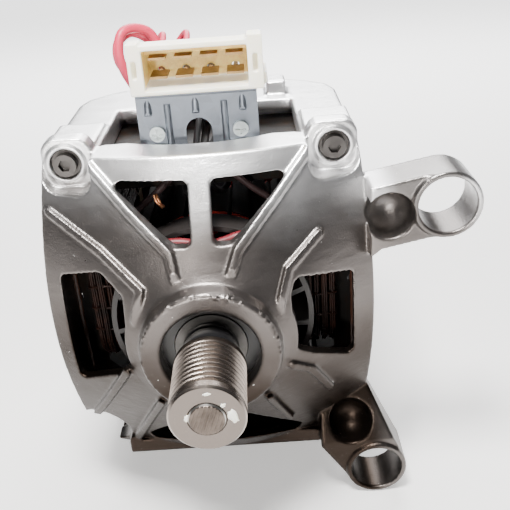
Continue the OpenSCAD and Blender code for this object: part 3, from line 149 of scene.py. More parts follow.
class Wire:
    # A socket that adds Math nodes when it is used in an expression
    def __init__(self, finish, socket):
        self.finish = finish
        self.socket = socket

    def out(self, key):
        return Wire(self.finish, self.socket.node.outputs[key])

    def do(self, operation, first, second):
        return self.finish.add("ShaderNodeMath", {"operation": operation}, {0: first, 1: second})

    def __add__(self, other):
        return self.do("ADD", self, other)

    def __radd__(self, other):
        return self.do("ADD", other, self)

    def __sub__(self, other):
        return self.do("SUBTRACT", self, other)

    def __rsub__(self, other):
        return self.do("SUBTRACT", other, self)

    def __mul__(self, other):
        return self.do("MULTIPLY", self, other)

    def __rmul__(self, other):
        return self.do("MULTIPLY", other, self)

    def __pow__(self, other):
        return self.do("POWER", self, other)


class Finish:
    def __init__(self, name, roughness=0.5, metal=0.0):
        self.material = bpy.data.materials.new(name)
        self.material.use_nodes = True
        self.tree = self.material.node_tree
        self.shader = self.tree.nodes["Principled BSDF"]
        self.put("Roughness", roughness)
        self.put("Metallic", metal)

    def feed(self, target, value):
        if isinstance(value, Wire):
            self.tree.links.new(value.socket, target)
        else:
            target.default_value = value

    def put(self, socket, value):
        self.feed(self.shader.inputs[socket], value)

    def add(self, kind, settings=None, sockets=None, out=0):
        node = self.tree.nodes.new(kind)
        for key, value in (settings or {}).items():
            setattr(node, key, value)
        for key, value in (sockets or {}).items():
            self.feed(node.inputs[key], value)
        return Wire(self, node.outputs[out])

    def spot(self):  # place on the object, in millimetres
        where = self.add("ShaderNodeTexCoord", out="Object")
        return self.add("ShaderNodeVectorMath", {"operation": "SCALE"}, {0: where, "Scale": 1000.0})

    def stretch(self, vector, factors):
        return self.add("ShaderNodeVectorMath", {"operation": "MULTIPLY"}, {0: vector, 1: factors})

    def parts(self, vector):
        first = self.add("ShaderNodeSeparateXYZ", {}, {0: vector})
        return [first.out(i) for i in range(3)]

    def join(self, x, y, z):
        return self.add("ShaderNodeCombineXYZ", {}, {0: x, 1: y, 2: z})

    def noise(self, vector, scale, detail=3.0, rough=0.5):
        return self.add("ShaderNodeTexNoise", {},
                        {"Vector": vector, "Scale": scale, "Detail": detail, "Roughness": rough})

    def step(self, value, low, high):  # 0 below low, 1 above high
        return self.add("ShaderNodeMapRange", {"interpolation_type": "SMOOTHSTEP"},
                        {0: value, 1: low, 2: high, 3: 0.0, 4: 1.0})

    def blend(self, factor, first, second):
        return self.add("ShaderNodeMix", {"data_type": "RGBA"}, {0: factor, 6: first, 7: second}, out=2)

    def bump(self, height, distance, strength=1.0):
        return self.add("ShaderNodeBump", {},
                        {"Height": height, "Distance": distance * mm, "Strength": strength})


def rgb(*c):
    return (c[0], c[1], c[2], 1)


def palePaper(s):
    # The floor's paper gets whiter towards the back
    f = Finish("palePaper", roughness=0.85)
    y = f.parts(f.spot())[1]
    far = f.step(y, *s["farRange"])
    f.put("Base Color", s["floorColour"])
    f.put("Emission Color", f.blend(far, s["floorColour"], s["farColour"]))
    f.put("Emission Strength", s["floorGlow"])
    return f.material


floor.data.materials.append(palePaper(stageSettings))


def castAluminium(name, s):
    # Painted light and shade: bright at the top as a painted highlight, brighter towards the right, and dull
    # brown at the bottom as painted shade with a warm painted reflection, with an uneven edge between
    f = Finish(name, metal=s["metal"])
    spot = f.spot()
    x, z = f.parts(spot)[::2]
    sand = f.noise(spot, 1.7, 5.0, 0.65)
    cloud = f.noise(spot, 0.05, 4.0, 0.55)
    flow = f.noise(f.stretch(spot, (0.5, 1.0, 1.6)), 0.17, 3.0, 0.6)
    # x tilts the painted light so it falls from the upper right; high is the painted highlight, low the
    # painted shade
    height = z + x * 0.08
    high = f.step(height - cloud * 16.0, *s["paintedLightRange"])
    low = f.step(cloud * 30.0 - height, *s["paintedShadeRange"])
    patchy = f.step(cloud, 0.3, 0.7)
    base = f.blend(patchy, rgb(*(c * 0.8 for c in s["middle"])), rgb(*s["middle"]))
    base = f.blend(high, base, rgb(*s["top"]))
    base = f.blend(low, base, rgb(*s["bottom"]))
    # Painted shade darkens the lug arm, from about x 56 to 92 mm
    lugShade = f.step(x, *s["lugShadeStart"]) * f.step(x * -1.0, *s["lugShadeEnd"])
    base = f.blend(lugShade * 0.9, base, rgb(*(c * 0.6 for c in s["middle"])))
    stain = f.step(f.noise(spot, 0.31, 4.0, 0.7), 0.6, 0.75)
    base = f.blend(stain * 0.3, base, rgb(*(c * 0.5 for c in s["middle"])))
    chip = f.step(f.noise(spot, 0.7, 2.0, 0.5), 0.765, 0.785)
    base = f.blend(chip, base, rgb(*s["chip"]))
    f.put("Base Color", base)
    f.put("Roughness", s["rough"] + sand * 0.12 + flow * 0.14 + stain * 0.08)
    f.put("Normal", f.bump(sand * 0.5 + flow * 0.9, 0.24, 0.6))
    return f.material


def turnedSteel(name, colour, rough=0.24, lines=9.0, depth=0.03, face=None):
    f = Finish(name, metal=1.0)
    spot = f.spot()
    x, y, z = f.parts(spot)
    radius = (x * x + z * z) ** 0.5
    lathe = f.noise(f.join(y * lines, radius * lines, 0.0), 0.45, 2.0, 0.7)
    cloud = f.noise(spot, 0.25, 3.0)
    dim = rgb(*(c * 0.7 for c in colour))
    base = f.blend(f.step(cloud, 0.35, 0.7), rgb(*colour), dim)
    if face:  # the end face is darker, painted shade
        base = f.blend(f.step(y * -1.0, face - 0.3, face), base, rgb(*(c * 0.5 for c in colour)))
    f.put("Base Color", base)
    f.put("Roughness", rough + lathe * 0.12 + cloud * 0.08)
    f.put("Normal", f.bump(lathe, depth, 0.5))
    return f.material


def plastic(name, colour, rough, grain=0.7, coat=0.0, vary=0.25):
    f = Finish(name)
    spot = f.spot()
    fine = f.noise(spot, grain * 3, 4.0, 0.6)
    cloud = f.noise(spot, 0.11, 3.0, 0.6)
    dark = rgb(*(c * (1 - vary) for c in colour))
    f.put("Base Color", f.blend(f.step(cloud, 0.3, 0.7), dark, rgb(*colour)))
    f.put("Roughness", rough + (fine - 0.5) * 0.14 + (cloud - 0.5) * 0.1)
    f.put("Normal", f.bump(fine, 0.03, 0.5))
    f.put("Coat Weight", coat)
    return f.material


darkLeadZone = {"bottom": (33.0, 36.0), "top": (60.0, 64.0)}  # the leads are dark between these heights


def leadInsulation(name, colour, darkLeadColour):
    f = Finish(name, roughness=0.3)
    spot = f.spot()
    z = f.parts(spot)[2]
    fine = f.noise(spot, 1.6, 3.0)
    low, high = darkLeadZone["top"]
    inside = f.step(z * -1.0, -high, -low) * f.step(z, *darkLeadZone["bottom"])
    cloud = f.noise(spot, 0.3, 3.0)
    base = f.blend(cloud * 0.5, rgb(*colour), rgb(*(c * 0.6 for c in colour)))
    # Between those heights the leads take the darker colour
    f.put("Base Color", f.blend(inside, base, rgb(*darkLeadColour)))
    f.put("Roughness", 0.4 + fine * 0.12 + inside * 0.2)
    f.put("Normal", f.bump(fine, 0.04, 0.4))
    return f.material


def sheetSteel(name, colour):
    f = Finish(name, metal=0.92)
    spot = f.spot()
    cells = f.add("ShaderNodeTexVoronoi", {"feature": "F1"},
                  {"Vector": f.stretch(spot, (1, 0.6, 1)), "Scale": 0.3}, out="Color")
    shade = f.parts(cells)[0]
    cloud = f.noise(spot, 0.2, 4.0, 0.6)
    wipe = f.noise(f.stretch(spot, (0.3, 1, 2.5)), 0.8, 3.0)
    dim = rgb(*(c * 0.72 for c in colour))
    f.put("Base Color", f.blend(shade * 0.5 + cloud * 0.5, dim, rgb(*colour)))
    f.put("Roughness", 0.26 + shade * 0.1 + cloud * 0.12 + wipe * 0.08)
    f.put("Normal", f.bump(cloud + wipe * 0.3, 0.05, 0.35))
    return f.material


def laminations(name):
    f = Finish(name, metal=0.2)
    spot = f.spot()
    y = f.parts(spot)[1]
    sheets = f.noise(f.join(0.0, y * 2.0, 0.0), 1.0, 1.0)
    drip = f.step(f.noise(f.stretch(spot, (1, 1, 0.4)), 0.2, 4.0, 0.6), 0.42, 0.66)
    f.put("Base Color", f.blend(drip, rgb(0.009, 0.008, 0.0075), rgb(0.012, 0.006, 0.003)))
    f.put("Roughness", 0.42 + sheets * 0.2)
    f.put("Normal", f.bump(sheets, 0.12, 0.9))
    f.put("Specular IOR Level", 0.12)
    return f.material


def enamel(name, colour, dark):
    f = Finish(name, metal=0.2)
    spot = f.spot()
    strands = f.noise(f.stretch(spot, (2.2, 0.12, 2.2)), 1.0, 2.0)
    cloud = f.noise(spot, 0.14, 3.0, 0.6)
    f.put("Base Color", f.blend(f.step(cloud, 0.35, 0.65), rgb(*dark), rgb(*colour)))
    f.put("Roughness", 0.3 + strands * 0.14)
    f.put("Normal", f.bump(strands, 0.15, 0.5))
    f.put("Specular IOR Level", 0.2)
    return f.material


def nylon(name, s):
    f = Finish(name)
    spot = f.spot()
    x, y, z = f.parts(spot)
    cloud = f.noise(spot, 0.12, 3.0, 0.6)
    fine = f.noise(spot, 2.0, 4.0, 0.6)
    lowX, highX, lowZ, highZ = s["mouth"]
    front, back = (hubY + depth for depth in s["mouthDepths"])
    inside = (f.step(y, front, front + 1.2) * f.step(y * -1.0, -back - 1.0, -back)
              * f.step(z, lowZ, lowZ + 1.0) * f.step(z * -1.0, -highZ - 1.0, -highZ)
              * f.step(x, lowX - 1.0, lowX) * f.step(x * -1.0, -highX - 1.0, -highX))
    shell = f.blend(f.step(cloud, 0.3, 0.7), rgb(*s["shade"]), rgb(*s["shell"]))
    deep = f.blend(f.step(cloud + fine * 0.3, 0.45, 0.85), rgb(*s["amber"]), rgb(*s["amberDark"]))
    skin = f.blend(inside, shell, deep)
    f.put("Base Color", skin)
    # Painted light: the plug glows in its own colour, lifting the shell and the amber inside the mouth
    f.put("Emission Color", skin)
    f.put("Emission Strength", s["paintedGlow"])
    f.put("Roughness", 0.34 + fine * 0.16)
    f.put("Normal", f.bump(fine, 0.03, 0.4))
    f.put("Subsurface Weight", 0.3)
    f.put("Subsurface Radius", (1.0, 0.75, 0.4))
    f.put("Subsurface Scale", 0.0025)
    return f.material


castLook = {
    # top is the painted highlight colour, bottom the painted shade colour
    "metal": 0.95, "rough": 0.19, "top": (0.9, 0.9, 0.905), "middle": (0.2, 0.181, 0.171),
    "bottom": (0.024, 0.017, 0.013), "chip": (0.6, 0.59, 0.57), "paintedLightRange": (24.0, 52.0),
    "paintedShadeRange": (-12.0, 34.0), "lugShadeStart": (56.0, 66.0), "lugShadeEnd": (-92.0, -84.0),
}
nylonLook = {
    "shell": (0.93, 0.9, 0.8), "shade": (0.88, 0.83, 0.68),
    "amber": (0.85, 0.62, 0.2), "amberDark": (0.55, 0.36, 0.09),
    # glow is painted light on the plug; the amber is kept light inside the shaded mouth, painted light too
    "mouth": (-17.4, 19.0, 76.6, 89.4), "mouthDepths": (50.6, 67.6), "paintedGlow": 0.4,
}

finishes = {
    "cast_aluminium": castAluminium("castAluminium", castLook),
    "zinc_screws": turnedSteel("zincScrew", (0.1, 0.094, 0.09), 0.26, 3.0),
    "lamination_steel": laminations("statorSheets"),
    "nylon_natural": nylon("naturalNylon", nylonLook),
    "enamelled_copper": enamel("coilWire", (0.024, 0.01, 0.007), (0.009, 0.005, 0.004)),
    "ground_steel": turnedSteel("groundSteel", (0.5, 0.48, 0.46), 0.2, 8.0),
    # face=13.2 darkens the pulley's end face as painted shade
    "pulley_steel": turnedSteel("pulleySteel", (0.36, 0.31, 0.275), 0.15, 14.0, face=13.2),
    "sawn_steel": turnedSteel("sawnSteel", (0.16, 0.13, 0.11), 0.24, 6.0),
    "bright_zinc": turnedSteel("brightZinc", (0.6, 0.66, 0.66), 0.2, 3.0),
    "bearing_steel": turnedSteel("bearingSteel", (0.11, 0.105, 0.1), 0.3, 4.0),
    "cage_brass": turnedSteel("cageBrass", (0.7, 0.5, 0.25), 0.25, 4.0),
    "black_rubber": plastic("sealRubber", (0.02, 0.019, 0.018), 0.36, 1.2),
    "dark_steel": turnedSteel("darkSteel", (0.12, 0.12, 0.125), 0.34, 4.0),
    "black_plastic": plastic("blackPlastic", (0.012, 0.012, 0.013), 0.18, 0.7, 0.3),
    "fan_plastic": plastic("fanPlastic", (0.014, 0.011, 0.01), 0.5, 0.8),
    "aged_nylon": plastic("agedNylon", (0.1, 0.085, 0.055), 0.4, 1.0),
    "dark_red": plastic("darkRed", (0.17, 0.008, 0.014), 0.45, 1.0),
    "red_board": plastic("redBoard", (0.42, 0.03, 0.02), 0.4, 1.0),
    "red_winding": enamel("rotorWinding", (0.42, 0.03, 0.022), (0.18, 0.015, 0.012)),
    "commutator_copper": turnedSteel("barCopper", (0.7, 0.32, 0.16), 0.22, 9.0),
    "brown_moulding": plastic("brownMoulding", (0.07, 0.028, 0.016), 0.4, 1.0),
    "carbon": plastic("brushCarbon", (0.03, 0.03, 0.032), 0.45, 1.4),
    "terminal_brass": turnedSteel("terminalBrass", (0.34, 0.22, 0.1), 0.3, 3.0),
    "galvanised_sheet": sheetSteel("galvanisedSheet", (0.19, 0.21, 0.24)),
    "red_lead": leadInsulation("redLead", (0.62, 0.035, 0.09), (0.03, 0.012, 0.012)),
    "black_lead": leadInsulation("blackLead", (0.015, 0.015, 0.018), (0.012, 0.011, 0.012)),
}


# Nodes that don't look like the rest of their slot
ownFinish = {
    "plug_bracket_screws": "bright_zinc", "pole_insulator_left": "aged_nylon",
    "pole_insulator_right": "aged_nylon",
}


def dress():
    slots = {s["node"]: s["material_slot"] for s in frame["record"]["subparts"]}
    for name, node in frame["nodes"].items():
        node.data.materials.clear()
        node.data.materials.append(finishes[ownFinish.get(name, slots[name])])
    print("materials made and set on", len(slots), "nodes")


dress()


def addPiece(name, mesh, slot, body, finish=None):
    piece = bpy.data.objects.new(name, mesh)
    bpy.context.collection.objects.link(piece)
    mesh.materials.clear()
    mesh.materials.append(finishes[finish or slot])
    for face in mesh.polygons:
        face.use_smooth = True
    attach(piece, body)
    return piece


def softCopy(node, voxel, rounds, slot, body):
    # The casting has no sharp edges: its solid is skinned and smoothed
    source = frame["nodes"][node]
    piece = bpy.data.objects.new(node + "_skin", source.data.copy())
    bpy.context.collection.objects.link(piece)
    skin = piece.modifiers.new("skin", "REMESH")
    skin.mode = "VOXEL"
    skin.voxel_size = voxel * mm
    skin.use_smooth_shade = True
    smooth = piece.modifiers.new("fillets", "SMOOTH")
    smooth.factor = 0.5
    smooth.iterations = rounds
    deps = bpy.context.evaluated_depsgraph_get()
    mesh = bpy.data.meshes.new_from_object(piece.evaluated_get(deps))
    bpy.data.objects.remove(piece)
    piece = addPiece(node + "_cast", mesh, slot, body)
    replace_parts(piece, node)
    print(node, "skin:", len(mesh.polygons), "faces")
    return piece


castSettings = {
    "front_shield": {"voxel": 0.5, "rounds": 7},
    "rear_shield": {"voxel": 0.8, "rounds": 6},
}
plugSettings = {"voxel": 0.36, "rounds": 3}

hubFlash = {"rim": 23.2, "reach": 1.5, "depth": 1.6, "height": 2.3, "scale": 0.85, "seed": 7}


def roughenHubRim(mesh, s):
    # Torn flash on the hub's front edge
    shift = Vector((s["seed"], 0, 0))
    for vertex in mesh.vertices:
        p = vertex.co / mm
        radius = math.hypot(p.x, p.z)
        near = max(0, 1 - abs(radius - s["rim"]) / s["reach"])
        near *= max(0, 1 - abs(p.y - hubY) / s["depth"])
        if near:
            upper = 0.25 + 0.75 * max(0, min(1, 0.5 + p.z / 20))
            n = max(0, noise.noise(p * s["scale"] + shift) - 0.08)
            out = Vector((p.x, 0, p.z)).normalized() * 0.5 - Vector((0, 1, 0))
            vertex.co += out * (near * n * upper * s["height"] * mm)


for item, values in castSettings.items():
    made = softCopy(item, values["voxel"], values["rounds"], "cast_aluminium", "housing")
    if item == "front_shield":
        roughenHubRim(made.data, hubFlash)
softCopy("plug_housing", plugSettings["voxel"], plugSettings["rounds"], "nylon_natural", "housing")
print("castings skinned")


def tubes(paths, radius, sides=8, closed=False):
    # Round tubes along chains of points in millimetres; the frame is carried along without twist
    verts = []
    faces = []
    for path in paths:
        count = len(path)
        base = len(verts)
        side = None
        for i, point in enumerate(path):
            ahead = path[(i + 1) % count] if closed else path[min(i + 1, count - 1)]
            before = path[i - 1] if closed or i else point
            along = (ahead - before).normalized()
            side = side or along.orthogonal()
            side = (side - along * side.dot(along)).normalized()
            up = along.cross(side)
            for k in range(sides):
                turn = math.tau * k / sides
                verts.append((point + radius * (side * math.cos(turn) + up * math.sin(turn))) * mm)
        for i in range(count if closed else count - 1):
            a, b = base + i * sides, base + (i + 1) % count * sides
            for k in range(sides):
                n = (k + 1) % sides
                faces.append((a + k, a + n, b + n, b + k))
        if not closed:
            faces.append(tuple(base + k for k in range(sides - 1, -1, -1)))
            faces.append(tuple(base + (count - 1) * sides + k for k in range(sides)))
    mesh = bpy.data.meshes.new("tubes")
    mesh.from_pydata(verts, [], faces)
    return mesh


def smoothWay(points, steps):
    # The same curve through the points as in the part's source
    way = []
    last = len(points) - 1
    for n in range(last * steps + 1):
        i = min(n // steps, last - 1)
        f = n / steps - i
        a, b, c, d = points[max(i - 1, 0)], points[i], points[i + 1], points[min(i + 2, last)]
        way.append(0.5 * (2 * b + (c - a) * f + (2 * a - 5 * b + 4 * c - d) * f * f
                          + (3 * b - a - 3 * c + d) * f * f * f))
    return way


def place(x, depth, z):
    return Vector((x, hubY + depth, z))


leadSettings = {
    "radius": 1.22, "bundleRadius": 1.75, "sides": 12, "steps": 5, "cellStart": 70, "cellEnd": 76,
    "red_leads": [
        ((-3.65, 86.12), [(-3.7, 84, 89), (-6, 88, 87), (-11, 89, 80), (-13, 86, 71), (-10, 80, 65.4),
                          (-3, 72.5, 63.2), (4, 64.5, 60.8), (8, 58, 56.8), (8.5, 54, 54.1), (8.6, 50.5, 53),
                          (9, 47, 51.6), (11, 43.6, 47.5), (18, 43, 41), (26, 43, 35), (31.6, 43, 28),
                          (32.6, 43, 23), (32.6, 43, 19.05)]),
        ((-12.55, 86.12), [(-12.6, 84, 89), (-15, 88, 86), (-18.5, 89, 78), (-18, 84, 69), (-15, 77, 63.5),
                           (-11, 70, 60.5), (-9, 62, 57.8), (-8.6, 56, 55.2), (-8.4, 52, 53.3),
                           (-9, 47.5, 52), (-11, 43.6, 47.5), (-18, 43, 41), (-26, 43, 35), (-31.6, 43, 28),
                           (-32.6, 43, 23), (-32.6, 43, 19.05)]),
    ],
    "black_leads": [
        ((5.25, 79.62), [(5.2, 84, 81), (8, 88, 79), (11, 88.5, 72), (10.6, 84, 65.5), (8.4, 77.5, 62.3),
                         (7.2, 72, 59), (5.8, 66, 56.2), (4.2, 60, 54.3), (2.8, 55.5, 53.4), (1.8, 51, 52.9),
                         (1.8, 46.6, 51), (2, 43.6, 46.5), (3.6, 45.2, 41.4), (6.4, 51, 38.4), (8, 60, 38),
                         (8, 82, 38), (9, 99, 38), (14, 107, 37.4), (26, 112, 33), (38, 117, 25),
                         (46, 121, 18.5), (49.5, 122, 12), (49.5, 122, 8), (49.5, 122, 4)]),
        ((-3.65, 79.62), [(-3.7, 84, 81), (-4.4, 88.5, 78), (-2.6, 88.5, 71.5), (-1, 84, 66), (-1, 77, 60.8),
                          (-1.8, 69, 57.6), (-2.2, 61, 55), (-2, 55, 53.3), (-1.8, 51, 52.9),
                          (-1.8, 46.6, 51), (-2, 43.6, 46.5), (-3.6, 45.2, 41.4), (-6.4, 51, 38.4),
                          (-8, 60, 38), (-8, 82, 38), (-9, 99, 38), (-14, 107, 37.4), (-26, 112, 33),
                          (-38, 117, 25), (-46, 121, 18.5), (-49.5, 122, 12), (-49.5, 122, 8),
                          (-49.5, 122, 4)]),
    ],
    "red_bundle": [
        ((-12.55, 79.62), [(-13, 80, 82), (-18, 82.5, 88), (-24, 82, 91), (-28.5, 78, 88.5), (-29, 76, 82),
                           (-25, 77, 75), (-20, 79, 68), (-17, 80, 61), (-17, 82, 57)]),
        ((-12.55, 79.62), [(-14, 80, 84), (-17, 81, 90.5), (-22, 79, 93), (-26.5, 75, 92), (-28, 72.5, 86),
                           (-27, 73, 79), (-24, 75.5, 71), (-21, 77, 63), (-20, 79, 57)]),
    ],
}


def leadPaths(routes, s):
    paths = []
    for (x, z), route in routes:
        points = [place(x, s["cellStart"], z), place(x, s["cellEnd"], z)]
        points += [place(*p) for p in route]
        paths.append(smoothWay(points, s["steps"]))
    return paths


def makeLeads(s):
    for node, slot in (("red_leads", "red_lead"), ("black_leads", "black_lead")):
        mesh = tubes(leadPaths(s[node], s), s["radius"], s["sides"])
        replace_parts(addPiece(node + "_insulated", mesh, slot, "housing"), node)
    mesh = tubes(leadPaths(s["red_bundle"], s), s["bundleRadius"], s["sides"])
    addPiece("red_lead_bundle", mesh, "red_lead", "housing")


coilSettings = {
    "x": 35.25, "corner": 4.0, "halfZ": 16.47, "halfY": 29.55, "pitch": 2.88, "turns": 3, "layers": 4,
    "rings": 24, "middle": 74.0, "wire": 0.46, "spread": 0.74, "wires": 6, "seed": 11,
    "laceZ": (-9, 0, 9), "laceRadius": 0.5,
    "lace": [(33.6, 28.1), (45.4, 27.9), (45.9, 32), (45.2, 36.9), (39, 37.3), (33.4, 36.8)],
}


def coilPath(s):
    # The same spiral as in the part's source, layer by layer
    points = []
    for n in range(s["turns"] * s["layers"] * s["rings"]):
        t = n / s["rings"]
        layer = math.floor(t / s["turns"])
        part = t - s["turns"] * layer
        spread = s["pitch"] * (part if layer % 2 == 0 else s["turns"] - part)
        k = round(t / s["turns"])
        past = t - k * s["turns"] + 0.25
        level = 0 if k == 0 else s["layers"] - 1 if k >= s["layers"] else k - 1 + max(0, min(1, past * 2))
        quarter, step = divmod(n % s["rings"], 6)
        turn = math.radians(90 * quarter + 18 * step)
        r = s["corner"] + spread
        z = (1 if quarter in (0, 3) else -1) * (s["halfZ"] - s["corner"]) + r * math.cos(turn)
        y = (1 if quarter < 2 else -1) * (s["halfY"] - s["corner"]) + r * math.sin(turn)
        points.append(Vector((s["x"] + s["pitch"] * level, y, z)))
    return points


def makeFieldCoils(s):
    # Each turn of the spiral is a bundle of thin wires, laced at both ends
    rnd = random.Random(s["seed"])
    spine = smoothWay(coilPath(s), 2)
    centre = Vector((0, hubY + s["middle"], 0))
    for node, sign in (("field_coil_left", -1), ("field_coil_right", 1)):
        paths = []
        for w in range(s["wires"]):
            phase = math.tau * w / (s["wires"] - 1)
            reach = 0 if w == s["wires"] - 1 else s["spread"]
            path = []
            for i, point in enumerate(spine):
                along = (spine[min(i + 1, len(spine) - 1)] - spine[max(i - 1, 0)]).normalized()
                side = along.cross(Vector((1, 0, 0))).normalized()
                turn = phase + i * 0.05
                p = point + reach * (side * math.cos(turn) + Vector((1, 0, 0)) * math.sin(turn))
                p += Vector([rnd.uniform(-0.05, 0.05) for axis in range(3)])
                path.append(Vector((sign * p.x, p.y, p.z)) + centre)
            paths.append(path)
        mesh = tubes(paths, s["wire"], 5)
        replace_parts(addPiece(node + "_wires", mesh, "enamelled_copper", "housing"), node)
        laces = []
        for end in (-1, 1):
            for z in s["laceZ"]:
                laces.append([Vector((sign * x, end * y, z + rnd.uniform(-0.4, 0.4))) + centre
                              for x, y in s["lace"]])
        addPiece(node + "_lacing", tubes(laces, s["laceRadius"], 7, True), "enamelled_copper", "housing")


headSettings = {
    "slots": 24, "reach": 165, "outer": 27.2, "inner": 10.5, "wire": 0.42, "wires": 7, "points": 18,
    "seed": 5, "rotor_winding_front": (47.4, -10.9), "rotor_winding_rear": (100.6, 10.9),
    "coreRadius": 17, "coreThickness": 3.2, "coreAt": 0.32, "coreSides": 48,
}


def makeWindingHeads(s):
    # Each coil leaves one slot, bends round the shaft and goes down into another
    rnd = random.Random(s["seed"])
    for node in ("rotor_winding_front", "rotor_winding_rear"):
        start, length = s[node]
        paths = []
        for slot in range(s["slots"]):
            level = 0.5 + 0.45 * slot / s["slots"]
            for w in range(s["wires"]):
                lift = rnd.uniform(-0.07, 0.07)
                out = rnd.uniform(-1.3, 1.2)
                twist = rnd.uniform(-1.8, 1.8)
                path = []
                for i in range(s["points"]):
                    f = i / (s["points"] - 1)
                    bow = math.sin(math.pi * f)
                    angle = math.radians(slot * 360 / s["slots"] + s["reach"] * f + twist * bow)
                    r = s["outer"] + out - (s["outer"] - s["inner"]) * bow ** 0.75 * (0.55 + 0.45 * level)
                    depth = start + length * min(1, (0.02 + bow ** 0.4 * (level + lift)))
                    path.append(place(r * math.cos(angle), depth, r * math.sin(angle)))
                paths.append(path)
        mesh = tubes(paths, s["wire"], 5)
        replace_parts(addPiece(node + "_wires", mesh, "red_winding", "rotor"), node)
        core = []
        r = s["coreRadius"]
        for i in range(s["coreSides"]):
            turn = math.tau * i / s["coreSides"]
            core.append(place(r * math.cos(turn), start + length * s["coreAt"], r * math.sin(turn)))
        addPiece(node + "_core", tubes([core], s["coreThickness"], 12, True), "red_winding", "rotor")


shaftEndSettings = {
    "radius": 5.25, "front": -31.98, "pitch": 1.2, "slant": 20, "relief": 0.28, "rings": 26, "spokes": 120,
}


def makeShaftEnd(s):
    # Sawn end of the shaft, with steep slanting ridges
    verts = []
    faces = []
    slant = math.radians(s["slant"])
    for i in range(s["rings"]):
        r = s["radius"] * (i + 0.5) / (s["rings"] - 0.5)
        for k in range(s["spokes"]):
            turn = math.tau * k / s["spokes"]
            x, z = r * math.cos(turn), r * math.sin(turn)
            across = x * math.cos(slant) - z * math.sin(slant)
            wave = math.sin(math.tau * across / s["pitch"] + 0.6 * noise.noise(Vector((x, 3, z)) * 0.4))
            lift = s["relief"] * (1 + max(-0.6, min(0.6, wave * 1.4)))
            lift += 0.08 * noise.noise(Vector((x, 0, z)) * 1.8)
            if i == s["rings"] - 1:
                lift = 0.02
            verts.append(place(x, s["front"] - lift, z) * mm)
    for k in range(s["spokes"]):
        turn = math.tau * k / s["spokes"]
        x, z = s["radius"] * math.cos(turn), s["radius"] * math.sin(turn)
        verts.append(place(x, s["front"] + 0.1, z) * mm)
    for i in range(s["rings"]):
        for k in range(s["spokes"]):
            n = (k + 1) % s["spokes"]
            a, b = i * s["spokes"], (i + 1) * s["spokes"]
            faces.append((a + k, b + k, b + n, a + n))
    faces.append(tuple(range(s["spokes"])))
    faces.append(tuple(s["rings"] * s["spokes"] + k for k in range(s["spokes"] - 1, -1, -1)))
    mesh = bpy.data.meshes.new("shaftEnd")
    mesh.from_pydata(verts, [], faces)
    addPiece("shaft_end_ridges", mesh, "ground_steel", "rotor", "sawn_steel")


# The black ring behind the pulley, narrower than its solid, as the photo shows it: (radius, depth)
ringSettings = {
    "profile": [(8.52, -4.86), (9.0, -4.86), (9.4, -4.4), (9.4, 3.0), (9.15, 3.3), (9.15, 3.9), (9.4, 4.2),
                (9.4, 5.9), (9.0, 6.46), (8.52, 6.46)],
    "sides": 96,
}


def makeSpacerRing(s):
    verts = []
    faces = []
    count = len(s["profile"])
    for k in range(s["sides"]):
        turn = math.tau * k / s["sides"]
        verts += [place(r * math.cos(turn), depth, r * math.sin(turn)) * mm for r, depth in s["profile"]]
        a, b = k * count, (k + 1) % s["sides"] * count
        for i in range(count):
            n = (i + 1) % count
            faces.append((a + i, a + n, b + n, b + i))
    mesh = bpy.data.meshes.new("spacerRing")
    mesh.from_pydata(verts, [], faces)
    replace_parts(addPiece("spacer_ring_turned", mesh, "black_plastic", "rotor"), "spacer_ring")


chipSettings = {
    "front": -31.36, "sides": 18, "rings": [(1.0, -0.05), (0.9, 0.2), (0.4, 0.32)],  # (scale, lift)
    "flakes": [
        {"spot": (7.6, 0.6), "size": (1.5, 2.6), "lean": 24, "seed": 1},
        {"spot": (-5.9, 0.7), "size": (0.7, 1.3), "lean": -10, "seed": 2},
        {"spot": (0.7, 8.9), "size": (1.2, 0.5), "lean": 5, "seed": 3},
        {"spot": (5.0, 4.6), "size": (0.8, 0.7), "lean": 40, "seed": 4},
    ],
}


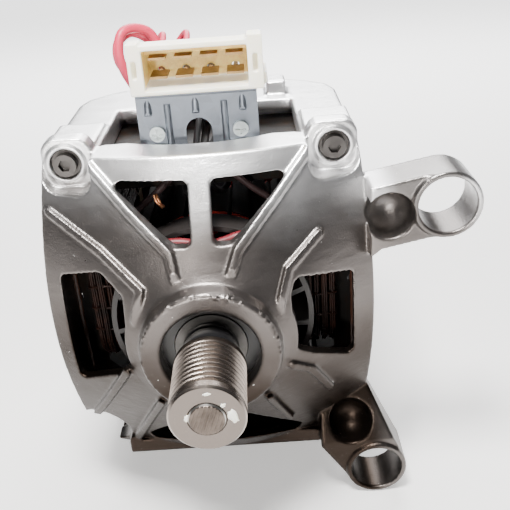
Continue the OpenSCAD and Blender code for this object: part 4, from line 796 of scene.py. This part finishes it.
def makeChips(s):
    # Pale flakes left on the end of the pulley
    verts = []
    faces = []
    sides = s["sides"]
    last = len(s["rings"]) - 1
    for flake in s["flakes"]:
        base = len(verts)
        lean = math.radians(flake["lean"])
        for scale, lift in s["rings"]:
            for k in range(sides):
                turn = math.tau * k / sides
                seed = Vector((math.cos(turn) * 1.6, flake["seed"] * 5, math.sin(turn) * 1.6))
                ragged = 1 + 0.45 * noise.noise(seed)
                u = flake["size"][0] * scale * ragged * math.cos(turn)
                w = flake["size"][1] * scale * ragged * math.sin(turn)
                x = flake["spot"][0] + u * math.cos(lean) - w * math.sin(lean)
                z = flake["spot"][1] + u * math.sin(lean) + w * math.cos(lean)
                verts.append(place(x, s["front"] - lift, z) * mm)
        for ring in range(last):
            for k in range(sides):
                n = (k + 1) % sides
                a, b = base + ring * sides, base + (ring + 1) * sides
                faces.append((a + k, a + n, b + n, b + k))
        faces.append(tuple(base + last * sides + k for k in range(sides)))
        faces.append(tuple(base + k for k in range(sides - 1, -1, -1)))
    mesh = bpy.data.meshes.new("chips")
    mesh.from_pydata(verts, [], faces)
    addPiece("pulley_end_flakes", mesh, "nylon_natural", "rotor")


# A dark brown tube that closes the slit in the joint beside the stator pack, as painted shade
slitShadeSettings = {"x": 53.0, "depth": 48.3, "half": 34, "radius": 1.4, "points": 40, "seed": 9}


def makeSlitShade(s):
    paths = []
    for side in (-1, 1):
        path = []
        for i in range(s["points"]):
            z = s["half"] * (2 * i / (s["points"] - 1) - 1)
            wander = 0.12 * noise.noise(Vector((side, s["seed"], z * 0.3)))
            path.append(place(side * (s["x"] + wander), s["depth"] + wander, z))
        paths.append(path)
    addPiece("joint_slit_shade", tubes(paths, s["radius"], 10), "brown_moulding", "housing")


# A red lead and a bare copper joint that show in the top windows
innerSettings = {
    "lead": [(-34, 24, 26), (-24, 21.5, 31), (-14, 20.5, 32.4), (-7, 20, 32.6), (0, 20, 31), (7, 20, 32.2),
             (13, 20.5, 33.6), (22, 21.5, 31.6), (32, 24, 26)],
    "copper": [[(-15.8, 30, 46.5), (-15.2, 29, 44.5), (-14.3, 29, 43.2), (-13.6, 30, 41.6)],
               [(-15.2, 30.5, 46.4), (-14.4, 29.2, 44.8), (-13.9, 29.4, 43), (-13, 30.4, 41.8)]],
    "leadRadius": 1.7, "copperRadius": 0.5,
}


def makeInnerLeads(s):
    path = smoothWay([place(*p) for p in s["lead"]], 6)
    addPiece("inner_red_lead", tubes([path], s["leadRadius"], 12), "red_lead", "housing", "dark_red")
    strands = [smoothWay([place(*p) for p in strand], 5) for strand in s["copper"]]
    addPiece("copper_joint", tubes(strands, s["copperRadius"], 8), "commutator_copper", "housing")


makeInnerLeads(innerSettings)
makeSlitShade(slitShadeSettings)
makeLeads(leadSettings)
makeFieldCoils(coilSettings)
makeWindingHeads(headSettings)
makeShaftEnd(shaftEndSettings)
makeSpacerRing(ringSettings)
makeChips(chipSettings)
print("leads, coils, winding heads and shaft end made")
